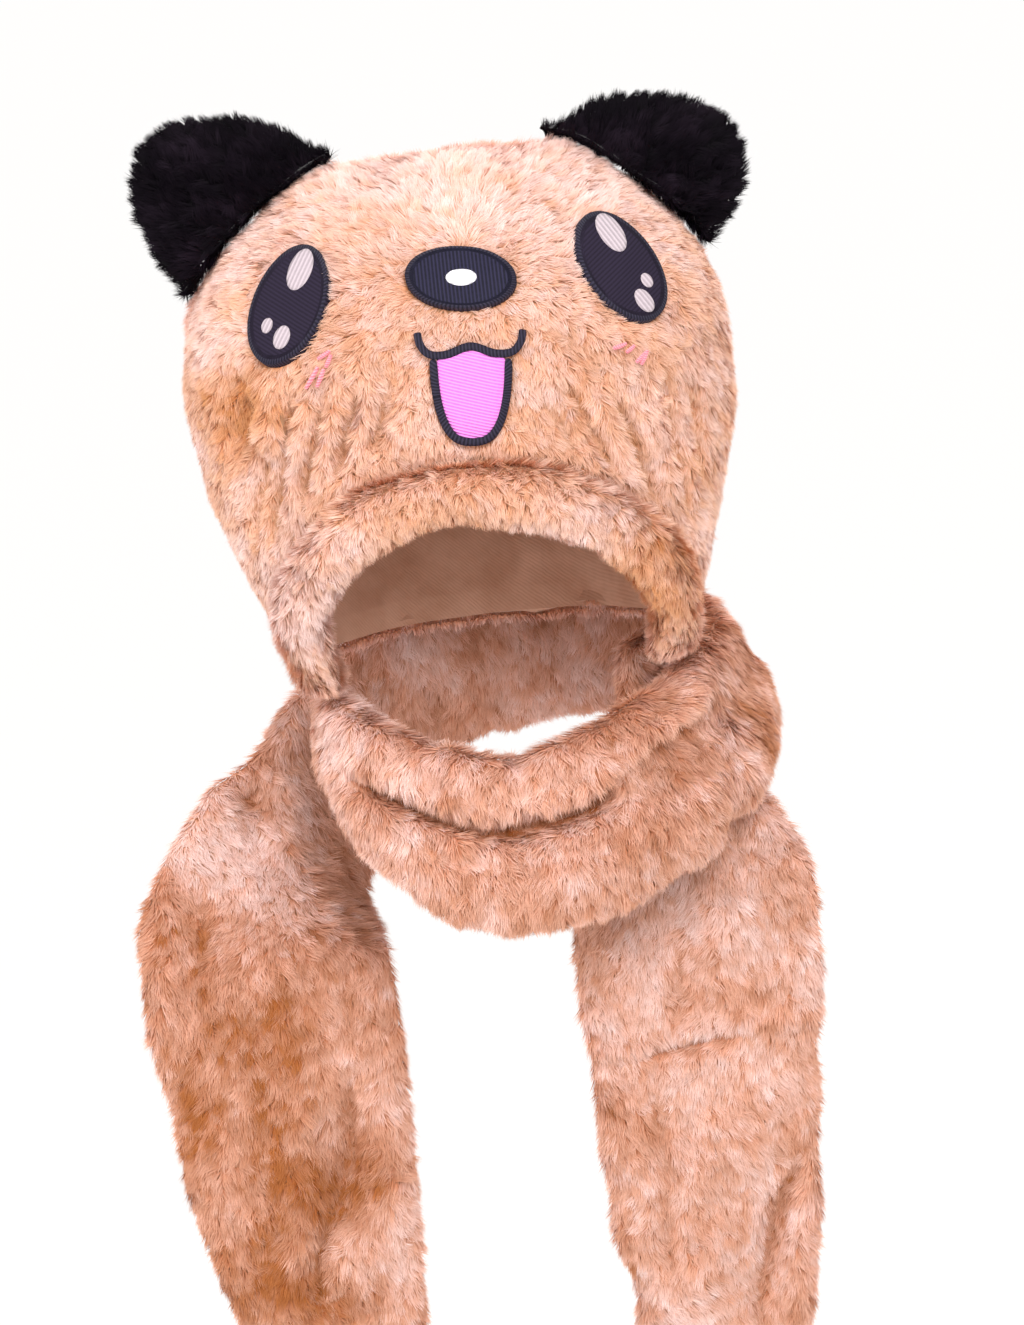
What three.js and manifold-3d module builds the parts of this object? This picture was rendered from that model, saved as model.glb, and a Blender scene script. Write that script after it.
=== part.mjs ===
// Animal hood scarf: a two panel plush hood with round ears, a padded rim round the face
// and a long plush scarf that goes once round the neck. Millimetres, +Z up, front towards -Y.
// The origin is the inner top of the crown, where the hood bears on the head, and the top and
// side seams lie in the plane Y = 0.

import * as THREE from 'three';
import { mergeVertices } from 'three/addons/utils/BufferGeometryUtils.js';
import Module from 'manifold-3d';

const wasm = await Module();
wasm.setup();

// Clearances
const GAP = 0.3;                 // between two sewn pieces
const PATCH_GAP = 0.85;          // between a flat patch and the curved plush under it
const GLINT_GAP = 0.5;           // between a glint and its patch
const SEAT_GAP = 0.6;            // between the hood's rounds and what sits on them

// Hood
const HOOD_WIDTH = 282;          // across both side seams at the widest
const HOOD_FRONT = 108;          // seam plane to the front
const HOOD_BACK = 104;           // seam plane to the back
const HOOD_HEIGHT = 260;         // top seam to the lower edge
const HOOD_WALL = 9;             // backing and pile
const HOOD_LEAN = 7;             // the crown leans this far to the left
const CORNER = 2.3;              // how square the hood is in plan, 2 is an ellipse
const FOLD_DEPTH = 7;            // deepest gather of the hood

// Face opening and its rim
const ARCH_RISE = 122;           // lower edge of the hood to the top of the arch
const ARCH_SPAN = 0.9;           // share of the hood's width that the arch takes
const ARCH_SKEW = 0.05;          // the arch is this share lower on the right
const RIM_WIDTH = 32;
const RIM_THICK = 26;
const RIM_PROUD = 6;             // the rim's middle stands this far in front of the wall's

// Ears
const EAR_WIDTH = 104;
const EAR_HEIGHT = 64;
const EAR_THICK = 36;
const EAR_SINK = 9;              // how far the round of the ear starts inside the seam

// Face patches
const PATCH_THICK = 2.2;
const GLINT_THICK = 1;
const EYE_LENGTH = 59;
const EYE_WIDTH = 33;
const EYE_TILT = 33;             // degrees, tops lean together
const EYE_SPACING = 160;         // centre to centre
const EYE_DOWN = 62;             // top seam to the eyes' centres
const MUZZLE_DOWN = 56;          // top seam to the nose's centre
const MUZZLE_TILT = -5;          // degrees, the muzzle sits a little askew
const NOSE_WIDTH = 54;
const NOSE_HEIGHT = 28;
const NOSE_GLINT_WIDTH = 15;
const NOSE_GLINT_HEIGHT = 7.5;
const MOUTH_DROP = 29;           // nose centre to the middle of the mouth line
const MOUTH_SIDE = 3.5;          // the mouth sits this far right of the nose
const MOUTH_SPAN = 51;
const MOUTH_RISE = 6.5;
const LINE_WIDTH = 3.6;
const TONGUE_WIDTH = 32;
const TONGUE_LENGTH = 37;

// Scarf
const SCARF_WIDTH = 137;
const SCARF_THICK = 26;
const LOOP_WIDTH = 248;          // across the loop, middle of the strip to middle
const LOOP_DEPTH = 224;          // front to back, middle to middle
const LOOP_BACK = 8;             // the loop's middle lies this far behind the seams
const LONG_DROP = 395;           // lower edge of the hood to the long side's end
const SHORT_DROP = 420;          // lower edge of the hood to the short side's end
const CROSS_SEAM = 222;          // lower edge of the hood to the crosswise seams
const VALLEY_DEPTH = 10;         // deepest lengthwise fold of the scarf

const CROWN_TOP = HOOD_WALL;
const HOOD_BOTTOM = CROWN_TOP - HOOD_HEIGHT;
const HALF_WIDTH = HOOD_WIDTH / 2;
const degrees = Math.PI / 180;

// Sections of the hood, top seam first. down: share of HOOD_HEIGHT, wide: of HOOD_WIDTH,
// front: of HOOD_FRONT, back: of HOOD_BACK, lean: of HOOD_LEAN
const hoodRows = [
  { down: 0.000, wide: 0.37, front: 0.00, back: 0.00, lean: 0.2 },
  { down: 0.012, wide: 0.45, front: 0.20, back: 0.20, lean: 0.3 },
  { down: 0.035, wide: 0.53, front: 0.36, back: 0.38, lean: 0.5 },
  { down: 0.092, wide: 0.67, front: 0.57, back: 0.60, lean: 0.8 },
  { down: 0.170, wide: 0.83, front: 0.76, back: 0.78, lean: 1.0 },
  { down: 0.246, wide: 0.93, front: 0.87, back: 0.89, lean: 1.0 },
  { down: 0.342, wide: 0.99, front: 0.95, back: 0.97, lean: 1.0 },
  { down: 0.477, wide: 1.00, front: 1.00, back: 1.00, lean: 0.9 },
  { down: 0.610, wide: 0.97, front: 1.00, back: 0.98, lean: 0.8 },
  { down: 0.719, wide: 0.92, front: 0.96, back: 0.93, lean: 0.8 },
  { down: 0.823, wide: 0.86, front: 0.90, back: 0.90, lean: 0.7 },
  { down: 0.919, wide: 0.79, front: 0.82, back: 0.86, lean: 0.6 },
  { down: 1.000, wide: 0.75, front: 0.74, back: 0.83, lean: 0.5 },
];

// Gathers of the front panel, seen from the front. across: share of half the width,
// down: share of HOOD_HEIGHT, deep: of FOLD_DEPTH, broad: of FOLD_DEPTH
const frontFolds = [
  { across: -0.86, down: 0.38, toAcross: -0.81, toDown: 0.56, deep: 1.0, broad: 0.9 },
  { across: -0.74, down: 0.44, toAcross: -0.68, toDown: 0.68, deep: 0.7, broad: 0.8 },
  { across: -0.60, down: 0.36, toAcross: -0.57, toDown: 0.60, deep: 0.7, broad: 0.8 },
  { across: -0.42, down: 0.36, toAcross: -0.45, toDown: 0.53, deep: 0.6, broad: 0.8 },
  { across: -0.23, down: 0.22, toAcross: -0.24, toDown: 0.50, deep: 0.5, broad: 0.9 },
  { across: 0.24, down: 0.30, toAcross: 0.18, toDown: 0.50, deep: 0.5, broad: 0.9 },
  { across: 0.24, down: 0.42, toAcross: 0.40, toDown: 0.56, deep: 0.6, broad: 0.8 },
  { across: 0.36, down: 0.42, toAcross: 0.56, toDown: 0.65, deep: 0.8, broad: 0.8 },
  { across: 0.49, down: 0.42, toAcross: 0.66, toDown: 0.72, deep: 0.7, broad: 0.8 },
  { across: 0.64, down: 0.46, toAcross: 0.75, toDown: 0.74, deep: 0.6, broad: 0.8 },
  { across: 0.83, down: 0.46, toAcross: 0.85, toDown: 0.68, deep: 0.7, broad: 1.0 },
];

// Soft gathers of the back panel, seen from the front as well
const backFolds = [
  { across: -0.60, down: 0.70, toAcross: -0.54, toDown: 1.00, deep: 0.8, broad: 1.4 },
  { across: -0.18, down: 0.74, toAcross: -0.16, toDown: 1.00, deep: 0.7, broad: 1.4 },
  { across: 0.22, down: 0.72, toAcross: 0.20, toDown: 1.00, deep: 0.8, broad: 1.4 },
  { across: 0.62, down: 0.70, toAcross: 0.56, toDown: 1.00, deep: 0.7, broad: 1.4 },
  { across: -0.45, down: 0.16, toAcross: -0.30, toDown: 0.34, deep: 0.6, broad: 1.8 },
  { across: 0.48, down: 0.16, toAcross: 0.34, toDown: 0.36, deep: 0.6, broad: 1.8 },
];

// Ears. side: -1 is image left, seat: where the base sits, as a share of HOOD_HEIGHT,
// turn: degrees from upright, tall: share of EAR_HEIGHT, sweep: how far the top leans outward,
// as a share of its height
const earRows = [
  { name: 'ear_left', side: -1, seat: 0.096, turn: 34, tall: 1.00, sweep: 0.18 },
  { name: 'ear_right', side: 1, seat: 0.104, turn: 44, tall: 0.80, sweep: 0.27 },
];

// Glints of the eyes. along and across: shares of the eye's half axes with across positive
// towards the ear, long and broad: shares of the half axes too
const glintsLeft = [
  { along: 0.57, across: 0.08, long: 0.34, broad: 0.32 },
  { along: -0.46, across: -0.24, long: 0.20, broad: 0.22 },
  { along: -0.42, across: 0.28, long: 0.13, broad: 0.15 },
];
const glintsRight = [
  { along: 0.48, across: 0.34, long: 0.34, broad: 0.32 },
  { along: -0.62, across: -0.10, long: 0.22, broad: 0.22 },
  { along: -0.42, across: 0.30, long: 0.13, broad: 0.15 },
];

// The mouth line. across: share of half of MOUTH_SPAN, rise: share of MOUTH_RISE
const mouthRows = [
  { across: -1.00, rise: 1.00 },
  { across: -0.96, rise: 0.20 },
  { across: -0.80, rise: -0.55 },
  { across: -0.45, rise: -0.60 },
  { across: 0.00, rise: 0.00 },
  { across: 0.45, rise: -0.60 },
  { across: 0.80, rise: -0.55 },
  { across: 0.96, rise: 0.20 },
  { across: 1.00, rise: 1.00 },
];

// The loop and the start of the long side. side: share of half of LOOP_WIDTH, fore: of half of
// LOOP_DEPTH with the front negative, down: of SCARF_WIDTH under the hood's lower edge,
// wide: of SCARF_WIDTH, thick: of SCARF_THICK, lean: outward slope of the lower edge,
// spin: degrees that the strip's upper edge has turned to the left, valley: of VALLEY_DEPTH
const loopRows = [
  { side: -0.74, fore: -0.20, down: 0.145, wide: 0.28, thick: 0.90, lean: 0.0, spin: 0, valley: 0.0 },
  { side: -0.73, fore: -0.46, down: 0.185, wide: 0.36, thick: 1.10, lean: 0.1, spin: 0, valley: 0.2 },
  { side: -0.59, fore: -0.76, down: 0.310, wide: 0.50, thick: 1.30, lean: 0.2, spin: 0, valley: 0.9 },
  { side: -0.34, fore: -0.97, down: 0.450, wide: 0.63, thick: 1.40, lean: 0.2, spin: 0, valley: 1.3 },
  { side: -0.06, fore: -1.06, down: 0.540, wide: 0.71, thick: 1.45, lean: 0.2, spin: 0, valley: 1.5 },
  { side: 0.25, fore: -1.02, down: 0.525, wide: 0.73, thick: 1.45, lean: 0.2, spin: 0, valley: 1.5 },
  { side: 0.55, fore: -0.85, down: 0.450, wide: 0.71, thick: 1.40, lean: 0.2, spin: 0, valley: 1.3 },
  { side: 0.80, fore: -0.56, down: 0.370, wide: 0.67, thick: 1.30, lean: 0.3, spin: 0, valley: 1.0 },
  { side: 0.92, fore: -0.20, down: 0.310, wide: 0.65, thick: 1.20, lean: 0.4, spin: 0, valley: 0.6 },
  { side: 0.91, fore: 0.20, down: 0.250, wide: 0.62, thick: 1.15, lean: 0.4, spin: 0, valley: 0.5 },
  { side: 0.70, fore: 0.60, down: 0.240, wide: 0.62, thick: 1.10, lean: 0.3, spin: 0, valley: 0.6 },
  { side: 0.32, fore: 0.82, down: 0.250, wide: 0.62, thick: 1.10, lean: 0.2, spin: 0, valley: 0.6 },
  { side: -0.14, fore: 0.86, down: 0.280, wide: 0.66, thick: 1.10, lean: 0.2, spin: 0, valley: 0.6 },
  { side: -0.57, fore: 0.74, down: 0.380, wide: 0.71, thick: 1.10, lean: 0.1, spin: 5, valley: 0.5 },
  { side: -0.87, fore: 0.44, down: 0.660, wide: 0.72, thick: 1.10, lean: 0.0, spin: 24, valley: 0.4 },
  { side: -1.10, fore: 0.06, down: 0.860, wide: 0.91, thick: 1.10, lean: 0.0, spin: 56, valley: 0.3 },
  { side: -1.17, fore: -0.26, down: 1.090, wide: 1.04, thick: 1.10, lean: 0.0, spin: 84, valley: 0.3 },
];

// The hanging part of the long side, down to its end. down: share of LONG_DROP,
// side: of SCARF_WIDTH from the middle of the hood, fore: of SCARF_WIDTH
const longRows = [
  { down: 0.460, side: -1.045, fore: -0.29, wide: 1.03, thick: 1.05, spin: 90 },
  { down: 0.560, side: -1.03, fore: -0.30, wide: 1.00, thick: 1.05, spin: 90 },
  { down: 0.700, side: -1.02, fore: -0.31, wide: 0.95, thick: 1.10, spin: 90 },
  { down: 0.850, side: -0.98, fore: -0.31, wide: 0.83, thick: 1.25, spin: 90 },
  { down: 0.950, side: -0.97, fore: -0.31, wide: 0.77, thick: 1.30, spin: 90 },
  { down: 0.985, side: -0.97, fore: -0.31, wide: 0.75, thick: 1.15, spin: 90 },
  { down: 1.000, side: -0.97, fore: -0.31, wide: 0.69, thick: 0.70, spin: 90 },
];

// The short side, from the hood's right corner to its end. down: share of SHORT_DROP,
// side and fore: of SCARF_WIDTH, turn: degrees that the strip turns towards the neck
const shortRows = [
  { down: 0.001, side: 0.555, fore: -0.09, wide: 0.34, thick: 0.85, turn: 55 },
  { down: 0.080, side: 0.535, fore: -0.15, wide: 0.37, thick: 1.00, turn: 45 },
  { down: 0.165, side: 0.54, fore: -0.22, wide: 0.50, thick: 1.05, turn: 28 },
  { down: 0.240, side: 0.61, fore: -0.26, wide: 0.84, thick: 1.05, turn: 10 },
  { down: 0.320, side: 0.62, fore: -0.31, wide: 1.00, thick: 1.00, turn: 0 },
  { down: 0.430, side: 0.61, fore: -0.33, wide: 1.00, thick: 1.00, turn: 0 },
  { down: 0.530, side: 0.60, fore: -0.34, wide: 0.96, thick: 1.05, turn: 0 },
  { down: 0.660, side: 0.59, fore: -0.34, wide: 0.92, thick: 1.10, turn: 0 },
  { down: 0.900, side: 0.58, fore: -0.31, wide: 0.74, thick: 1.25, turn: 0 },
  { down: 0.960, side: 0.58, fore: -0.31, wide: 0.70, thick: 1.20, turn: 0 },
  { down: 0.987, side: 0.58, fore: -0.31, wide: 0.67, thick: 1.05, turn: 0 },
  { down: 1.000, side: 0.58, fore: -0.31, wide: 0.61, thick: 0.65, turn: 0 },
];

// Lengthwise folds of the hanging sides. at: share of half the strip's width, from and to:
// shares of the drop, deep: of VALLEY_DEPTH, broad: of half the width, face: 1 front, -1 back
const longFolds = [
  { at: -0.52, from: 0.24, to: 0.50, deep: 0.6, broad: 0.16, face: 1 },
  { at: 0.30, from: 0.36, to: 0.62, deep: 0.3, broad: 0.20, face: 1 },
  { at: 0.34, from: 0.56, to: 1.10, deep: 1.2, broad: 0.17, face: 1 },
  { at: -0.35, from: 0.66, to: 1.10, deep: 0.5, broad: 0.18, face: 1 },
  { at: -0.20, from: 0.40, to: 1.10, deep: 0.6, broad: 0.22, face: -1 },
  { at: 0.45, from: 0.30, to: 0.80, deep: 0.5, broad: 0.20, face: -1 },
];
const shortFolds = [
  { at: -0.30, from: 0.16, to: 0.40, deep: 0.5, broad: 0.18, face: 1 },
  { at: 0.55, from: 0.62, to: 1.10, deep: 0.9, broad: 0.18, face: 1 },
  { at: -0.15, from: 0.66, to: 1.10, deep: 0.4, broad: 0.22, face: 1 },
  { at: 0.10, from: 0.30, to: 1.10, deep: 0.6, broad: 0.22, face: -1 },
];

// A smooth curve through one column of a table, with no overshoot between its rows
function sample(rows, at, key, column) {
  const last = rows.length - 1;
  let i = 0;
  while (i < last - 1 && rows[i + 1][key] < at) i += 1;
  const slope = (k) => (rows[k + 1][column] - rows[k][column]) / (rows[k + 1][key] - rows[k][key]);
  const tangent = (k) => {
    if (k === 0) return slope(0);
    if (k === last) return slope(last - 1);
    const a = slope(k - 1);
    const b = slope(k);
    return a * b <= 0 ? 0 : (2 * a * b) / (a + b);
  };
  const width = rows[i + 1][key] - rows[i][key];
  const s = THREE.MathUtils.clamp((at - rows[i][key]) / width, 0, 1);
  const s2 = s * s;
  const s3 = s2 * s;
  return (2 * s3 - 3 * s2 + 1) * rows[i][column] + (s3 - 2 * s2 + s) * width * tangent(i)
    + (3 * s2 - 2 * s3) * rows[i + 1][column] + (s3 - s2) * width * tangent(i + 1);
}

const power = (value, exponent) => Math.sign(value) * Math.abs(value) ** exponent;

// Welds a deformed stock geometry into one closed body whose faces point out
function weld(geometry) {
  geometry.deleteAttribute('normal');
  geometry.deleteAttribute('uv');
  const welded = mergeVertices(geometry, 1e-4);
  const p = welded.attributes.position;
  const index = welded.index.array;
  const corners = [new THREE.Vector3(), new THREE.Vector3(), new THREE.Vector3()];
  let volume = 0;
  for (let i = 0; i < index.length; i += 3) {
    corners.forEach((corner, k) => corner.fromBufferAttribute(p, index[i + k]));
    volume += corners[0].dot(corners[1].cross(corners[2]));
  }
  if (volume < 0) {
    for (let i = 0; i < index.length; i += 3) {
      const swap = index[i];
      index[i] = index[i + 1];
      index[i + 1] = swap;
    }
  }
  return welded;
}

// A slab of cloth: place(u, v, w) gives a point, with w 0 on its inner face and 1 on its outer
function slab(across, down, place) {
  const geometry = new THREE.BoxGeometry(1, 1, 1, across, down, 1);
  const p = geometry.attributes.position;
  for (let i = 0; i < p.count; i += 1) {
    const point = place(p.getX(i) + 0.5, 0.5 - p.getY(i), p.getZ(i) > 0 ? 1 : 0);
    p.setXYZ(i, point.x, point.y, point.z);
  }
  return weld(geometry);
}

// A tube: place(angle, v, r) gives a point, with r 0 at the middle of an end cap
function tube(around, along, place) {
  const geometry = new THREE.CylinderGeometry(1, 1, 1, around, along, false);
  const p = geometry.attributes.position;
  for (let i = 0; i < p.count; i += 1) {
    const radius = Math.hypot(p.getX(i), p.getZ(i));
    const angle = Math.atan2(p.getZ(i), p.getX(i));
    const point = place(angle, 0.5 - p.getY(i), radius > 0.5 ? 1 : 0);
    p.setXYZ(i, point.x, point.y, point.z);
  }
  return weld(geometry);
}

function named(name, geometry, look) {
  const mesh = new THREE.Mesh(geometry, new THREE.MeshStandardMaterial(look));
  mesh.name = name;
  mesh.updateMatrixWorld();
  return mesh;
}

// Depth of the gathers at a place seen from the front
function foldDepth(folds, x, z) {
  let depth = 0;
  for (const fold of folds) {
    const from = new THREE.Vector2(fold.across * HALF_WIDTH, CROWN_TOP - fold.down * HOOD_HEIGHT);
    const to = new THREE.Vector2(fold.toAcross * HALF_WIDTH, CROWN_TOP - fold.toDown * HOOD_HEIGHT);
    const run = to.clone().sub(from);
    const here = new THREE.Vector2(x, z).sub(from);
    const share = here.dot(run) / run.lengthSq();
    const inside = THREE.MathUtils.clamp(share, 0, 1);
    const off = here.sub(run.clone().multiplyScalar(inside)).length() / (fold.broad * FOLD_DEPTH);
    const ease = Math.sin(Math.PI * THREE.MathUtils.clamp(0.12 + 0.76 * share, 0, 1));
    depth += fold.deep * FOLD_DEPTH * ease * Math.exp(-off * off);
  }
  return depth;
}

// A point of the hood's outer face. cosine and sine are of the angle round the head from +X,
// down is a share of HOOD_HEIGHT, side is -1 in front of the seams and 1 behind them
function hoodPoint(cosine, sine, down, side) {
  const half = sample(hoodRows, down, 'down', 'wide') * HALF_WIDTH;
  const deep = side < 0
    ? sample(hoodRows, down, 'down', 'front') * HOOD_FRONT
    : sample(hoodRows, down, 'down', 'back') * HOOD_BACK;
  const px = power(cosine, 2 / CORNER);
  const py = power(sine, 2 / CORNER);
  const x = px * half;
  const z = CROWN_TOP - down * HOOD_HEIGHT;
  const window = THREE.MathUtils.smoothstep(py * deep / HOOD_FRONT, 0, 0.35);
  const depth = window * foldDepth(side < 0 ? frontFolds : backFolds, x, z);
  const normal = new THREE.Vector2(px / half, py / Math.max(deep, 1)).normalize();
  const lean = -HOOD_LEAN * sample(hoodRows, down, 'down', 'lean');
  return new THREE.Vector3(
    x - depth * normal.x + lean,
    side * (GAP / 2 + py * deep - depth * normal.y),
    z,
  );
}

// Moves a point of the outer face to the inner face: the hood drawn in by its wall
function inward(point, side) {
  const seam = side * GAP / 2;
  return new THREE.Vector3(
    point.x * (1 - HOOD_WALL / HALF_WIDTH),
    seam + (point.y - seam) * (1 - HOOD_WALL / HOOD_FRONT),
    HOOD_BOTTOM + (point.z - HOOD_BOTTOM) * (1 - HOOD_WALL / HOOD_HEIGHT),
  );
}

// The share of the height at which the inner face is as low as the outer face is at down
const innerDown = (down) => 1 - (1 - down) / (1 - HOOD_WALL / HOOD_HEIGHT);

// Columns of the front panel: three beside the arch at each side and the rest over it
const SIDE_COLUMNS = 3;
const ARCH_COLUMNS = 34;
const FRONT_COLUMNS = ARCH_COLUMNS + 2 * SIDE_COLUMNS;
const FRONT_ROWS = 16;
const ARCH_EVEN = 0.125;         // evens out the columns over the top of the arch

function frontColumn(u) {
  const column = u * FRONT_COLUMNS;
  const endAngle = Math.acos(ARCH_SPAN ** (CORNER / 2));
  if (column < SIDE_COLUMNS) {
    const angle = Math.PI - endAngle * column / SIDE_COLUMNS;
    return { cosine: Math.cos(angle), sine: Math.sin(angle), end: 1 };
  }
  if (column > FRONT_COLUMNS - SIDE_COLUMNS) {
    const angle = endAngle * (FRONT_COLUMNS - column) / SIDE_COLUMNS;
    return { cosine: Math.cos(angle), sine: Math.sin(angle), end: 1 };
  }
  const s = (column - SIDE_COLUMNS) / ARCH_COLUMNS;
  const turn = Math.PI * (1 - s) - ARCH_EVEN * Math.sin(2 * Math.PI * s);
  const cosine = power(ARCH_SPAN * Math.cos(turn), CORNER / 2);
  return {
    cosine,
    sine: Math.sqrt(1 - cosine * cosine),
    end: 1 - (ARCH_RISE / HOOD_HEIGHT) * Math.max(Math.sin(turn), 0) * (1 - ARCH_SKEW * Math.cos(turn)),
  };
}

const TOP_CROWDING = 1.6;        // rows crowd towards the top seam

function frontPoint(u, v, w) {
  const { cosine, sine, end } = frontColumn(u);
  const down = (w ? end : innerDown(end)) * v ** TOP_CROWDING;
  const outer = hoodPoint(cosine, sine, down, -1);
  return w ? outer : inward(outer, -1);
}

function backPoint(u, v, w) {
  const angle = Math.PI * (1 - u);
  const down = v ** TOP_CROWDING;
  const outer = hoodPoint(Math.cos(angle), Math.sin(angle), down, 1);
  return w ? outer : inward(outer, 1);
}

// The filled hood, drawn out by a clearance, that the ears are cut with
function filledHood(clearance) {
  const around = 48;
  const rows = 20;
  const low = 1.02;
  return tube(around, rows, (angle, v, r) => {
    const down = Math.min(v, 1) ** TOP_CROWDING;
    const side = Math.sin(angle) > 0 ? 1 : -1;
    const point = hoodPoint(Math.cos(angle), Math.abs(Math.sin(angle)), Math.min(down * low, 1), side);
    const middle = v < 0.5 ? CROWN_TOP : HOOD_BOTTOM;
    if (r === 0) point.set(0, 0, middle);
    return new THREE.Vector3(
      point.x * (1 + clearance / HALF_WIDTH),
      point.y * (1 + clearance / HOOD_FRONT) + side * clearance * r,
      point.z + clearance,
    );
  });
}

const toManifold = (geometry) => new wasm.Manifold(new wasm.Mesh({
  numProp: 3,
  vertProperties: new Float32Array(geometry.attributes.position.array),
  triVerts: new Uint32Array(geometry.index.array),
}));

function fromManifold(solid) {
  const mesh = solid.getMesh();
  const geometry = new THREE.BufferGeometry();
  geometry.setAttribute('position', new THREE.BufferAttribute(mesh.vertProperties, 3));
  geometry.setIndex(new THREE.BufferAttribute(mesh.triVerts, 1));
  return geometry;
}

// One padded half-round ear, cut to sit on the hood's corner
function earGeometry({ side, seat, turn, tall, sweep }) {
  const round = 2.3;
  const geometry = new THREE.SphereGeometry(1, 22, 14);
  const p = geometry.attributes.position;
  const seatHalf = sample(hoodRows, seat, 'down', 'wide') * HALF_WIDTH;
  const lean = -HOOD_LEAN * sample(hoodRows, seat, 'down', 'lean');
  const base = new THREE.Vector3(side * seatHalf + lean, 0, CROWN_TOP - seat * HOOD_HEIGHT);
  const out = new THREE.Vector3(side * Math.sin(turn * degrees), 0, Math.cos(turn * degrees));
  const along = new THREE.Vector3(out.z, 0, -out.x);
  for (let i = 0; i < p.count; i += 1) {
    const flat = Math.hypot(p.getX(i), p.getY(i));
    const grow = flat > 1e-6 ? flat ** (2 / round) / flat : 0;
    const rise = p.getY(i) * grow * (EAR_HEIGHT * tall + EAR_SINK) - EAR_SINK;
    const place = base.clone()
      .addScaledVector(along, p.getX(i) * grow * EAR_WIDTH / 2 + side * sweep * Math.max(rise, 0))
      .addScaledVector(out, rise);
    place.y += p.getZ(i) * EAR_THICK / 2;
    p.setXYZ(i, place.x, place.y, place.z);
  }
  const ear = toManifold(weld(geometry));
  return fromManifold(ear.subtract(toManifold(filledHood(SEAT_GAP))));
}

// Where the outer face of a mesh lies, seen from the front
function frontOf(mesh) {
  const far = 1000;
  const ray = new THREE.Raycaster();
  return (x, z) => {
    ray.set(new THREE.Vector3(x, -far, z), new THREE.Vector3(0, 1, 0));
    const hits = ray.intersectObject(mesh);
    return hits.length ? hits[0].point.y : 0;
  };
}

// A flat patch over a disc: shape(x, z) turns the unit disc into the patch's outline
function patch(cells, thick, clearance, ground, shape) {
  return slab(cells, cells, (u, v, w) => {
    const a = 2 * u - 1;
    const b = 1 - 2 * v;
    const dx = a * Math.sqrt(1 - b * b / 2);
    const dz = b * Math.sqrt(1 - a * a / 2);
    const place = shape(dx, dz);
    const soft = 1 - 0.35 * Math.hypot(dx, dz) ** 6;
    const y = ground(place.x, place.y) - clearance - w * thick * soft;
    return new THREE.Vector3(place.x, y, place.y);
  });
}

// A stitched line: a ribbon that follows a path over the ground
function ribbon(steps, width, thick, clearance, ground, path) {
  const step = 0.002;
  return slab(steps, 2, (u, v, w) => {
    const here = path(u);
    const ahead = path(Math.min(u + step, 1)).sub(path(Math.max(u - step, 0))).normalize();
    const place = here.add(new THREE.Vector2(-ahead.y, ahead.x).multiplyScalar((0.5 - v) * width));
    const crown = v === 0.5 ? 1 : 0.75;
    const y = ground(place.x, place.y) - clearance - w * thick * crown;
    return new THREE.Vector3(place.x, y, place.y);
  });
}

// Turns and moves a flat shape to its place on the face
function onFace(centre, tilt) {
  const c = Math.cos(tilt * degrees);
  const s = Math.sin(tilt * degrees);
  return (x, z) => new THREE.Vector2(centre.x + x * c - z * s, centre.y + x * s + z * c);
}

const plush = { roughness: 0.95, metalness: 0 };
const satin = { roughness: 0.5, metalness: 0 };

function hood(part) {
  const front = slab(FRONT_COLUMNS, FRONT_ROWS, frontPoint);
  part.add(named('face_panel', front, { color: 0xd9a273, ...plush }));
  part.add(named('hood_back', slab(26, 14, backPoint), { color: 0xd39a80, ...plush }));
  for (const row of earRows) {
    part.add(named(row.name, earGeometry(row), { color: 0x15121b, ...plush }));
  }
}

// The padded roll along the edge of the arch
function rim(part) {
  const around = 12;
  const first = SIDE_COLUMNS / FRONT_COLUMNS;
  const edge = (s, w) => frontPoint(first + s * (1 - 2 * first), 1, w);
  const step = 0.004;
  part.add(named('face_rim', tube(around, ARCH_COLUMNS, (angle, s, r) => {
    const outer = edge(s, 1);
    const inner = edge(s, 0);
    const ahead = edge(Math.min(s + step, 1), 1).sub(edge(Math.max(s - step, 0), 1)).normalize();
    const out = outer.clone().sub(inner).normalize();
    const away = out.clone().cross(ahead).normalize();
    if (away.z > 0 || s < 0.1) away.multiplyScalar(Math.sign(-away.z || 1));
    const centre = outer.clone().lerp(inner, 0.5)
      .addScaledVector(away, RIM_WIDTH / 2 + GAP)
      .addScaledVector(out, RIM_PROUD);
    centre
      .addScaledVector(away, r * Math.cos(angle) * RIM_WIDTH / 2)
      .addScaledVector(out, r * Math.sin(angle) * RIM_THICK / 2);
    centre.z = s === 0 || s === 1 ? HOOD_BOTTOM : Math.max(centre.z, HOOD_BOTTOM);
    return centre;
  }), { color: 0xd29c70, ...plush }));
}

function eyes(part, ground) {
  for (const [name, side, glints] of [['left', -1, glintsLeft], ['right', 1, glintsRight]]) {
    const centre = new THREE.Vector2(side * EYE_SPACING / 2 - HOOD_LEAN / 2, CROWN_TOP - EYE_DOWN);
    const place = onFace(centre, side * EYE_TILT);
    const eye = named(`eye_${name}`, patch(8, PATCH_THICK, PATCH_GAP, ground, (x, z) => (
      place(x * EYE_WIDTH / 2, z * EYE_LENGTH / 2)
    )), { color: 0x1c1828, ...satin });
    part.add(eye);
    const onEye = frontOf(eye);
    glints.forEach((row, i) => {
      const shape = (x, z) => place(
        (row.across * side + x * row.broad) * EYE_WIDTH / 2,
        (row.along + z * row.long) * EYE_LENGTH / 2,
      );
      const glint = patch(4, GLINT_THICK, GLINT_GAP, onEye, shape);
      part.add(named(`glint_${name}_${i + 1}`, glint, { color: 0xd9cfe6, ...satin }));
    });
  }
}

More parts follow.
